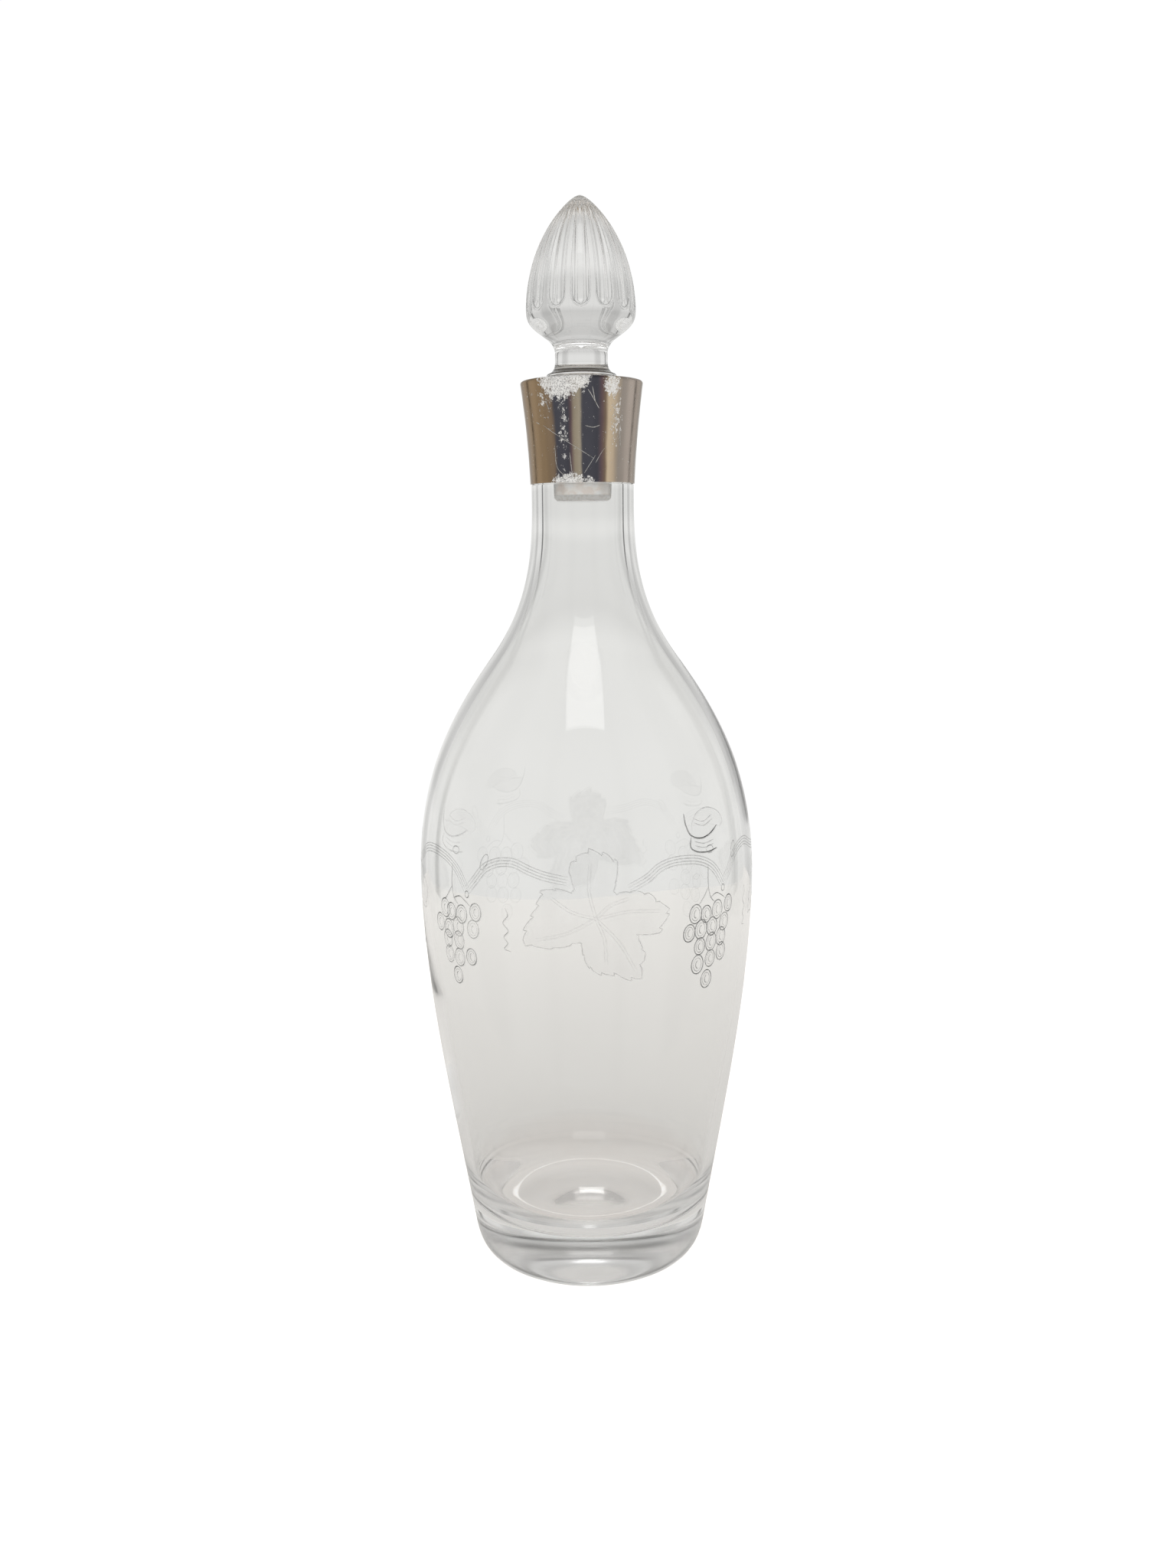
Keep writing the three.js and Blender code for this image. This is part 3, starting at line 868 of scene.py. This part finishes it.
# %% Node helpers
class Nodes:
    """A node tree with short ways to add and link its nodes."""

    def __init__(self, tree):
        self.nodes, self.links = tree.nodes, tree.links

    def add(self, kind, inputs=(), **settings):
        """A node of a kind, with its settings. Each input gets a constant, or a link from the
        output that is given for it."""
        node = self.nodes.new(kind)
        for name, value in settings.items():
            setattr(node, name, value)
        for name, value in dict(inputs).items():
            if hasattr(value, "is_output"):
                self.links.new(value, node.inputs[name])
            else:
                node.inputs[name].default_value = value
        return node

    def math(self, operation, *values, **settings):
        """A math node on constants or outputs."""
        settings["operation"] = operation
        return self.add("ShaderNodeMath", enumerate(values), **settings).outputs[0]

    def ramp(self, factor, stops):
        """Colours or greys along a factor, as (place, value) pairs."""
        ramp = self.add("ShaderNodeValToRGB", {"Fac": factor})
        elements = ramp.color_ramp.elements
        while len(elements) < len(stops):
            elements.new(1)
        for element, (place, value) in zip(elements, stops):
            element.position = place
            element.color = (value, value, value, 1) if np.isscalar(value) else (*value, 1)
        return ramp.outputs["Color"]

    def mixed(self, factor, first, second):
        """A colour between two others, by a factor."""
        inputs = {"Factor": factor, "A": first, "B": second}
        return self.add("ShaderNodeMix", inputs, data_type="RGBA").outputs["Result"]

    def split(self, vector):
        """The three parts of a vector."""
        return self.add("ShaderNodeSeparateXYZ", {0: vector}).outputs


class Finish(Nodes):
    """A material's node tree, with constants on its shader, underscores standing for spaces."""

    def __init__(self, name, **constants):
        self.material = bpy.data.materials.new(name)
        self.material.use_nodes = True
        super().__init__(self.material.node_tree)
        self.shader = self.nodes["Principled BSDF"]
        self.place = self.add("ShaderNodeTexCoord").outputs["Object"]
        for socket, value in constants.items():
            self.shader.inputs[socket.replace("_", " ")].default_value = value

    def to(self, socket, output):
        """Sends an output to a socket of the shader."""
        self.links.new(output, self.shader.inputs[socket])

    def noise(self, size_mm, detail=4, roughness=0.55, stretch=(1, 1, 1), seed=0.0):
        """Noise with features of a size in millimetres, stretched along the axes."""
        scale = [s / (size_mm * MM) for s in stretch]
        moved = {"Vector": self.place, "Scale": scale, "Location": (seed, seed * 1.7, seed * 2.3)}
        place = self.add("ShaderNodeMapping", moved).outputs["Vector"]
        grain = {"Vector": place, "Scale": 1, "Detail": detail, "Roughness": roughness}
        return self.add("ShaderNodeTexNoise", grain).outputs["Fac"]

    def bump(self, height, depth_mm, strength=1.0):
        """Fine relief of a depth in millimetres, sent to the shader's normal."""
        inputs = {"Height": height, "Strength": strength, "Distance": depth_mm * MM}
        self.to("Normal", self.add("ShaderNodeBump", inputs).outputs["Normal"])

    def up(self, low, high, at_low, at_high):
        """A value that goes softly from one to another between two heights in millimetres."""
        inputs = enumerate([self.split(self.place)["Z"], low * MM, high * MM, at_low, at_high])
        node = self.add("ShaderNodeMapRange", inputs, interpolation_type="SMOOTHSTEP")
        return node.outputs["Result"]


def grained(name, noise, tints, relief=(), **constants):
    """A finish whose colour, and relief if it has any, follow a noise."""
    finish = Finish(name, **constants)
    grain = finish.noise(**noise)
    finish.to("Base Color", finish.ramp(grain, tints))
    if relief:
        finish.bump(grain, *relief)
    return finish


def paint(piece, *materials):
    """Puts materials into the next slots of a piece."""
    for material in materials:
        piece.data.materials.append(material)


# %% [markdown]
# Clear glass lets nearly everything through, but it is never perfect: the faintest film of grease
# makes it a little less sharp in patches, and each face takes a trace of grey-green. Light that is
# thrown back many times meets many faces, so the edges and the heavy base go darker than the thin
# belly. A volume that absorbs light would do the same, but the bottle has three kinds of surface,
# and light that enters by one and leaves by another would stay in the volume for good.

# %% Clear glass
CLEAR = (0.980, 0.983, 0.978)
WORN_ROUGHNESS = 0.24


def clear_glass(name, tint, worn_height=0.01):
    """Polished glass with faint smears and the grey-green of its body. Below the worn height, in
    millimetres, it goes matt towards the table."""
    finish = Finish(name, Transmission_Weight=1.0, IOR=1.52, Base_Color=(*tint, 1))
    smears = finish.noise(14, detail=5, stretch=(1, 1, 0.35))
    smears = finish.ramp(smears, [(0.45, 0.0), (0.8, 0.05)])
    worn = finish.up(0, worn_height, WORN_ROUGHNESS, 0)
    finish.to("Roughness", finish.math("MAXIMUM", smears, worn))
    finish.bump(finish.noise(22, detail=1, seed=3.0), 0.05, 0.35)
    return finish.material


paint(bottle, clear_glass("clear_glass", CLEAR, 8))
paint(stopper, clear_glass("stopper_glass", (0.982, 0.983, 0.980)))

# %% [markdown]
# The peg and its seat are ground against each other with grit until they fit, which leaves both
# faces matt. They take the same glass with a rough surface, and a brown-pink wine stain that the
# grinding holds. The peg's lower edge gets a white matt band with a fine relief, a painted
# highlight for the light that its polished bevel throws back. The floor inside is clouded by what
# has dried on it, and clear again up the wall.


# %% Ground glass, the peg's painted highlight, and stained glass
def zone(piece, material, low, high, reach):
    """Gives a material to the faces between two heights and nearer to the axis than a reach."""
    mesh = piece.data
    mesh.materials.append(material)
    centres = np.zeros(len(mesh.polygons) * 3)
    mesh.polygons.foreach_get("center", centres)
    centres = centres.reshape(-1, 3) / MM
    radius = np.hypot(centres[:, 0], centres[:, 1])
    chosen = (centres[:, 2] > low) & (centres[:, 2] < high) & (radius < reach)
    slots = np.zeros(len(mesh.polygons), np.int32)
    mesh.polygons.foreach_get("material_index", slots)
    slots[chosen] = len(mesh.materials) - 1
    mesh.polygons.foreach_set("material_index", slots)
    print(piece.name, int(chosen.sum()), "faces of", material.name)


ground = grained(
    "ground_glass", {"size_mm": 3.5, "detail": 6, "stretch": (1, 1, 1.4), "seed": 1.0},
    [(0.42, (1.0, 0.995, 0.985)), (0.51, (0.985, 0.93, 0.87)), (0.6, (0.86, 0.72, 0.63))],
    Transmission_Weight=1.0, IOR=1.5, Roughness=0.26,
)
ground.bump(ground.noise(0.35, detail=3, seed=2.0), 0.04, 0.6)
# Painted highlight: a matt white band that stands in for light thrown back by the peg's bevel.
peg_highlight = grained(
    "peg_painted_highlight", {"size_mm": 0.8, "detail": 5, "seed": 15.0},
    [(0.4, (0.86, 0.83, 0.79)), (0.5, (0.99, 0.98, 0.96))], relief=(0.1, 0.6), Roughness=0.6,
)
stained = Finish("stained_floor", Transmission_Weight=1.0, IOR=1.52, Roughness=0.03)
stain = stained.noise(9, detail=5, seed=12.0)
stain = stained.ramp(stain, [(0.35, (0.99, 0.955, 0.935)), (0.65, (0.97, 0.92, 0.89))])
fade = stained.up(FLOOR_THICKNESS + 5, FLOOR_THICKNESS + 15, 0, 1)
stained.to("Base Color", stained.mixed(fade, stain, (*CLEAR, 1)))
bud_glass = clear_glass("bud_glass", (0.95, 0.952, 0.947))

FLOOR_REACH, PEG_HIGHLIGHT_HEIGHT, BUD_GLASS_FOOT = 38.4, 1.5, 13
peg_foot, peg_reach = mouth - PEG_LENGTH, seat_mouth + 0.2
wall_foot = FLOOR_THICKNESS + FLOOR_CORNER_HEIGHT
zone(bottle, ground.material, mouth - SEAT_LENGTH, mouth - LIP_BEVEL, peg_reach)
zone(bottle, stained.material, FLOOR_THICKNESS - 0.7, wall_foot, FLOOR_REACH)
zone(stopper, ground.material, peg_foot - 0.1, mouth, peg_reach)
# The peg's lowest millimetre and a half takes the painted highlight.
zone(stopper, peg_highlight.material, peg_foot + 0.1, peg_foot + PEG_HIGHLIGHT_HEIGHT, peg_reach)
zone(stopper, bud_glass, mouth + BUD_GLASS_FOOT, mouth + BUD_TIP + 1, BUD_RADIUS + 1)


# %% [markdown]
# The wheel leaves the glass matt. A dark ribbon is a near-black grey that lets some of the light
# past, painted shade for the shaded flank of a cut, and a bright ribbon is white, a painted
# highlight for the lit flank. How much a ribbon hides follows the pressure of its stroke. A cut has
# one look from outside, where its edges are crisp, and a softer one through the glass from behind.
# So each side of a ribbon or a patch has its own finish, which only shows on its face and not on
# its back. A flank seen at a slant hides more, and there a dark ribbon is painted shade for the
# darker surroundings that the glass shows near its sides, which is why the bunches at the sides
# stand out and the front ones are faint.


# %% Engraved glass
def one_sided(finish, cover):
    """Sends a cover of nought to one to the alpha, cut to nothing on the back of the surface."""
    back = finish.add("ShaderNodeNewGeometry").outputs["Backfacing"]
    front = finish.math("SUBTRACT", 1.0, back)
    finish.to("Alpha", finish.math("MULTIPLY", cover, front, use_clamp=True))
    return finish.material


def engraved(name, colour, straight, slanting):
    """Matt cut glass in a given colour: dark for painted shade, white for painted highlight, mid
    grey from behind. It covers what is behind it by its pressure times one share where it is seen
    straight on and another where it is seen at a slant."""
    finish = Finish(name, Base_Color=(*colour, 1), Roughness=0.55)
    pressure = finish.add("ShaderNodeAttribute", attribute_name="pressure").outputs["Fac"]
    grain = finish.ramp(finish.noise(1.6, detail=3, seed=9.0), [(0.3, 0.45), (0.62, 1.0)])
    facing = finish.add("ShaderNodeLayerWeight").outputs["Facing"]
    slant = finish.ramp(facing, [(0.02, straight), (0.45, slanting)])
    cover = finish.math("MULTIPLY", pressure, grain)
    return one_sided(finish, finish.math("MULTIPLY", cover, slant))


def frosted(name, colour, least, most):
    """The rubbed leaves: a grey that covers a little of what is behind, in faint streaks."""
    finish = Finish(name, Base_Color=(*colour, 1), Roughness=0.7)
    streaks = finish.noise(5, detail=4, stretch=(1, 1, 0.5), seed=4.0)
    return one_sided(finish, finish.ramp(streaks, [(0.3, least), (0.7, most)]))


HIGHLIGHT_WHITE, GREY_FROST, PALE_FROST = (0.97, 0.97, 0.97), (0.5, 0.5, 0.505), (0.78, 0.78, 0.79)
behind_cut = engraved("cut_glass_behind", (0.5, 0.5, 0.5), 0.10, 0.13)
# Near-black cut glass is painted shade of a cut's flank, and white is painted highlight.
paint(cut_ribbons_painted_shade, engraved("cut_glass_painted_shade", (0.05, 0.052, 0.05), 0.38, 1.5), behind_cut)
paint(cut_ribbons_painted_highlight, engraved("cut_glass_painted_highlight", HIGHLIGHT_WHITE, 0.9, 0.9), behind_cut)
# The flutes' edges: painted highlight in white and painted shade in dark grey.
paint(flute_highlight_ribbons, engraved("painted_highlight_flute_edge", HIGHLIGHT_WHITE, 0.75, 0.9))
paint(flute_shade_ribbons, engraved("painted_shade_flute_edge", (0.3, 0.3, 0.3), 0.5, 0.7))

broad = frosted("broad_leaf", GREY_FROST, 0.03, 0.07)
broad_behind = frosted("broad_leaf_behind", PALE_FROST, 0.06, 0.13)
folded = frosted("folded_leaf", GREY_FROST, 0.01, 0.03)
folded_behind = frosted("folded_leaf_behind", PALE_FROST, 0.03, 0.07)
for patch in leaf_patches[: len(leaf_middles)]:
    paint(patch, broad, broad_behind)
for patch in leaf_patches[len(leaf_middles) :]:
    paint(patch, folded, folded_behind)


# %% [markdown]
# Old silver plate tarnishes, and its bright metal mirrors the room round it. Both are painted into
# the colour as upright bands round the axis: partly real tarnish, gold where it is thin, then
# brown, then purple and blue-black, and partly painted reflections of dark and bright things round
# the collar. The bands depend on the direction round the axis, so one colour ramp carries them, and
# a little noise makes their edges run unevenly. On top of that the plating has flaked off white
# along the rim and in a streak down the front.
#
# Each worn spot is given by its direction in degrees, its depth below the rim in millimetres, its
# half width and half height, and its strength.

# %% Tarnish and painted reflections, by degrees round from the front
GOLD, TAN, BROWN = (0.50, 0.40, 0.28), (0.25, 0.21, 0.155), (0.215, 0.155, 0.095)
DARK_BROWN, PURPLE, BLUE_BLACK = (0.16, 0.115, 0.08), (0.105, 0.07, 0.075), (0.058, 0.058, 0.07)
GREY_PINK, LIGHT_BROWN = (0.33, 0.29, 0.255), (0.30, 0.21, 0.125)
BAND_BRIGHTNESS = 1.16
# Colours round the collar: partly tarnish, partly painted reflections of the room.
TARNISH_AND_REFLECTIONS = [
    (-180, BROWN), (-158, GREY_PINK), (-150, GOLD), (-143, PURPLE), (-128, BLUE_BLACK),
    (-124, TAN), (-112, BROWN), (-72, LIGHT_BROWN), (-42, (0.28, 0.195, 0.115)),
    (-30, DARK_BROWN), (-27.5, BLUE_BLACK), (-14, BLUE_BLACK), (-11, PURPLE), (-8, TAN),
    (-2, (0.30, 0.26, 0.20)), (0.2, BLUE_BLACK), (16, BLUE_BLACK), (20, PURPLE), (24, DARK_BROWN),
    (27, GOLD), (35, (0.42, 0.34, 0.25)), (41, GREY_PINK), (58, (0.42, 0.36, 0.315)), (90, BROWN),
    (118, DARK_BROWN), (124, BLUE_BLACK), (137, PURPLE), (143, GOLD), (152, TAN), (180, BROWN),
]
WORN_SPOTS = [
    (-20, 0.5, 30, 7.5, 0.30), (-2, 0.0, 14, 5.0, 0.30), (30, 2.6, 12, 4.4, 0.24),
    (-19, 14, 7, 18, 0.115), (-14, 30.5, 26, 4.0, 0.26), (8, 30, 9, 2.2, 0.2),
    (36, 12, 9, 10, 0.13), (-40, 7, 10, 6, 0.1), (-150, 0.5, 22, 5, 0.3),
    (126, 1.0, 24, 4.5, 0.28), (-128, 15, 8, 14, 0.18), (160, 29, 22, 3, 0.25),
]


# %% Silver plate
def silver_plate():
    """Tarnish and painted reflections by direction round the axis, white where it has flaked."""
    finish = Finish("silver_plate")
    calc = finish.math
    place = finish.split(finish.place)
    turn = calc("ARCTAN2", place["X"], calc("MULTIPLY", place["Y"], -1.0))
    turn = calc("DIVIDE", turn, 2 * math.pi)
    drop = calc("DIVIDE", calc("SUBTRACT", collar_top * MM, place["Z"]), MM)

    waver = calc("SUBTRACT", finish.noise(7, detail=5, stretch=(1, 1, 0.35), seed=5.0), 0.5)
    waver = calc("ADD", calc("MULTIPLY", waver, 0.016), calc("ADD", turn, 0.5))
    tints = [(0.5 + angle / 360, np.array(colour) * BAND_BRIGHTNESS) for angle, colour in TARNISH_AND_REFLECTIONS]
    # Painted reflections: the ramp's bands stand in for the room mirrored in the metal, with its
    # tarnish.
    bands = finish.ramp(waver, tints)

    worn = 0.0
    for angle, depth, half_angle, half_depth, strength in WORN_SPOTS:
        aside = calc("DIVIDE", calc("SUBTRACT", turn, angle / 360), half_angle / 360)
        below = calc("DIVIDE", calc("SUBTRACT", drop, depth), half_depth)
        apart = calc("ADD", calc("MULTIPLY", aside, aside), calc("MULTIPLY", below, below))
        spot = calc("MULTIPLY", calc("SUBTRACT", 1.0, apart), strength)
        worn = calc("MAXIMUM", spot, worn)
    crumbs = finish.noise(1.1, detail=10, roughness=0.78, stretch=(1, 1, 0.75), seed=8.0)
    flaked = finish.ramp(calc("ADD", crumbs, worn), [(0.625, 0.0), (0.64, 1.0)])
    cracks = finish.noise(0.7, detail=3, roughness=0.6, seed=14.0)
    cracks = calc("ABSOLUTE", calc("SUBTRACT", cracks, 0.5))
    flaked = calc("MULTIPLY", flaked, finish.ramp(cracks, [(0.008, 0.0), (0.022, 1.0)]))

    chalk = finish.noise(0.45, detail=4, seed=10.0)
    chalk = finish.ramp(chalk, [(0.30, (0.55, 0.53, 0.50)), (0.42, (0.98, 0.97, 0.95))])
    smooth = finish.ramp(finish.noise(4, detail=5, seed=6.0), [(0.3, 0.10), (0.7, 0.26)])
    finish.to("Base Color", finish.mixed(flaked, bands, chalk))
    finish.to("Metallic", calc("SUBTRACT", 1.0, flaked))
    finish.to("Roughness", finish.mixed(flaked, smooth, (0.75, 0.75, 0.75, 1)))
    finish.bump(calc("ADD", flaked, calc("MULTIPLY", crumbs, 0.15)), 0.05, 0.8)
    return finish.material


paint(collar, silver_plate())

# %% [markdown]
# A few deeper scratches show bright. They are ribbons too, laid on the collar by the same helper,
# and are given by degrees round from the front and millimetres below the rim.

# %% Scratches on the collar
DEGREES_PER_STEP = 3.4
SCRATCHES = [
    [(-42, 13.6), (-15, 18.6), (12, 23.4)], [(-29, 19.5), (-27.6, 25.5), (-18, 28.6)],
    [(3, 14.1), (11, 14.6), (18, 14.0)], [(6, 4.0), (11, 6.4), (17, 9.4)], [(10, 3.2), (13, 7.6)],
    [(14, 24.6), (20, 21.8), (27, 19.2)], [(-36, 6.8), (-33, 9.6)], [(-13, 21.6), (-11, 27.4)],
    [(33, 9.8), (38, 12.6)], [(41, 15.2), (43, 19.8)], [(-52, 12.6), (-47, 13.2)],
    [(2, 27.6), (14, 22.4)], [(-118, 9), (-96, 13)], [(150, 12), (172, 18)], [(96, 19), (110, 17)],
]
collar_face = collar_side(0)


def on_collar(around, height, lift):
    """Points in metres on the collar's face, the way round being in steps of 3.4 degrees, which
    are about as long as a millimetre of height, so that a stroke is as wide either way."""
    radius = np.interp(height, collar_face[:, 1], collar_face[:, 0]) + lift + 0.03
    return placed(np.radians(around * DEGREES_PER_STEP), radius, height)


strips = []
for path in SCRATCHES:
    line = swept([(angle / DEGREES_PER_STEP, collar_top - depth) for angle, depth in path], 0.3)
    strips.append(ribbon(line, 0.14 + 0.08 * hand.random(), False, on_collar))
piece = joined("collar_scratches", strips, "bottle")

bare_metal = grained(
    "bare_metal", {"size_mm": 0.8, "detail": 3, "seed": 11.0},
    [(0.35, (0.42, 0.40, 0.37)), (0.6, (0.78, 0.77, 0.74))], Metallic=0.4, Roughness=0.5,
)
paint(piece, bare_metal.material)

# %% [markdown]
# Plaster fills the space between the neck and the collar. It also clings to the collar's inside
# and to the part of its lid that lies over the lip.

# %% Plaster
plaster = grained(
    "set_plaster", {"size_mm": 1.2, "detail": 6, "seed": 7.0},
    [(0.3, (0.66, 0.61, 0.52)), (0.7, (0.82, 0.78, 0.70))], relief=(0.1,), Roughness=0.9,
).material
plaster_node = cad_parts["collar_plaster"]
plaster_node.data.materials.clear()
paint(plaster_node, plaster)
sleeve_back = collared_radius + CLEARANCE + 0.1
zone(collar, plaster, collar_foot - 0.1, collar_top + 0.1, sleeve_back)
zone(collar, plaster, collar_top - 1.5, collar_top + 0.1, collared_radius + 1.2)

# %% [markdown]
# ## The studio
#
# Glass shows only what is round it. A pale table and a soft sky of panels, with narrow gaps and
# a darker upper part, give the body its quiet grey and the thin dark lines at its edges. The
# picture's own background is pure white, so the table and the sky are white where the camera looks
# at them directly, and darker for the light that comes through the glass.
#
# The panels are levels by degrees from straight behind, alike on both sides. The heights are
# levels from straight down, at nought, to straight up, at one.

# %% World
PANELS = [
    (19, 0.85), (25, 0.66), (33, 0.66), (38, 0.86), (53, 0.84), (55.5, 0.15), (58.5, 0.15),
    (61, 0.86), (76, 0.92), (84, 0.74), (104, 0.74), (112, 0.97), (144, 0.97), (152, 0.8),
    (160, 0.97), (180, 0.97),
]
HEIGHTS = [
    (0.25, 0.78), (0.36, 0.89), (0.42, 0.975), (0.46, 1.0), (0.497, 0.84), (0.56, 0.88),
    (0.64, 0.7), (0.76, 0.76), (0.92, 0.5),
]

world = bpy.data.worlds.new("soft_sky")
bpy.context.scene.world = world
world.use_nodes = True
sky = Nodes(world.node_tree)
sky.nodes.clear()

direction = sky.split(sky.add("ShaderNodeTexCoord").outputs["Generated"])
azimuth = sky.math("ARCTAN2", direction["X"], direction["Y"])
from_back = sky.math("DIVIDE", sky.math("ABSOLUTE", azimuth), math.pi)
height = sky.math("ADD", sky.math("MULTIPLY", direction["Z"], 0.5), 0.5)
panels = sky.ramp(from_back, [(angle / 180, level) for angle, level in PANELS])
level = sky.math("MULTIPLY", panels, sky.ramp(height, HEIGHTS))

seen_by_camera = sky.add("ShaderNodeLightPath").outputs["Is Camera Ray"]
soft = sky.add("ShaderNodeBackground", {"Color": (1.0, 0.995, 0.98, 1), "Strength": level})
white = sky.add("ShaderNodeBackground", {"Color": (1, 1, 1, 1), "Strength": 1.02})
chosen = enumerate([seen_by_camera, soft.outputs[0], white.outputs[0]])
mix = sky.add("ShaderNodeMixShader", chosen)
sky.add("ShaderNodeOutputWorld", {"Surface": mix.outputs[0]})
print(len(PANELS), "panel levels round and", len(HEIGHTS), "up")

# %% Table
TABLE_HALF, TABLE_DROP = 0.45, 0.00005
TABLE_GLOW = [(0.03, 0.56), (0.055, 0.39), (0.11, 0.41), (0.4, 0.55)]
GLOW_FOR_CAMERA = 1.06
sides = [(-1, -1), (1, -1), (1, 1), (-1, 1)]
corners = [(x * TABLE_HALF, y * TABLE_HALF, -TABLE_DROP) for x, y in sides]
table_mesh = bpy.data.meshes.new("table")
table_mesh.from_pydata(corners, [], [(0, 1, 2, 3)])
table = bpy.data.objects.new("table", table_mesh)
bpy.context.scene.collection.objects.link(table)
table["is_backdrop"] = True

cloth = Finish("pale_table", Base_Color=(0.46, 0.44, 0.42, 1), Roughness=0.8)
away = cloth.add("ShaderNodeVectorMath", {0: cloth.place}, operation="LENGTH").outputs["Value"]
seen_by_camera = cloth.add("ShaderNodeLightPath").outputs["Is Camera Ray"]
levels = {"Value": seen_by_camera, "To Min": cloth.ramp(away, TABLE_GLOW)}
level = cloth.add("ShaderNodeMapRange", {**levels, "To Max": GLOW_FOR_CAMERA}).outputs["Result"]
glow = cloth.add("ShaderNodeEmission", {"Color": (1.0, 0.985, 0.96, 1), "Strength": level})
both = cloth.add("ShaderNodeAddShader", enumerate([cloth.shader.outputs[0], glow.outputs[0]]))
cloth.links.new(both.outputs[0], cloth.nodes["Material Output"].inputs["Surface"])
paint(table, cloth.material)
print("table", 2 * TABLE_HALF, "m wide, glow by distance", TABLE_GLOW)

# %% Lamps
LAMP_DISTANCE = 1.4


def window_light(name, azimuth, elevation, width, height, power, aim=0.18, spread=180):
    """A rectangular lamp that faces the axis at the aim's height from a compass direction, 0 being
    the front. Its light spreads over an angle in degrees."""
    data = bpy.data.lights.new(name, "AREA")
    data.shape = "RECTANGLE"
    data.size, data.size_y = width, height
    data.energy = power
    data.spread = math.radians(spread)
    lamp = bpy.data.objects.new(name, data)
    a, e = math.radians(azimuth), math.radians(elevation)
    way = np.array([math.sin(a) * math.cos(e), -math.cos(a) * math.cos(e), math.sin(e)])
    place = way * LAMP_DISTANCE + np.array([0, 0, aim])
    turn = Matrix.Rotation(a, 4, "Z") @ Matrix.Rotation(math.pi / 2 - e, 4, "X")
    lamp.matrix_world = Matrix.Translation(place) @ turn
    bpy.context.scene.collection.objects.link(lamp)
    print(name, round(width * height, 4), "square metres,", power, "W")


window_light("front_window", 0, 61, 0.7, 0.6, 1.7)
window_light("far_window", 180, 26.6, 0.125, 0.1, 0.0008, aim=0.018, spread=14)
bpy.context.scene.view_settings.view_transform = "Standard"

# %% [markdown]
# Inside the thick base and the stopper, light is thrown back many times before it gets out. With
# the usual limit of four such turns it would be given up half way, and the base would show black
# rings, so the limits are raised.

# %% Light paths
MOST_TURNS, MOST_STRAIGHT_THROUGH = 40, 32
paths = bpy.context.scene.cycles
paths.max_bounces = paths.glossy_bounces = paths.transmission_bounces = MOST_TURNS
paths.transparent_max_bounces = MOST_STRAIGHT_THROUGH
print("light turns:", paths.max_bounces, "and straight through:", paths.transparent_max_bounces)

# %% Finish
size = {"cad": [list(v) for v in cad_box], "visual": [list(v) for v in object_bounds()]}
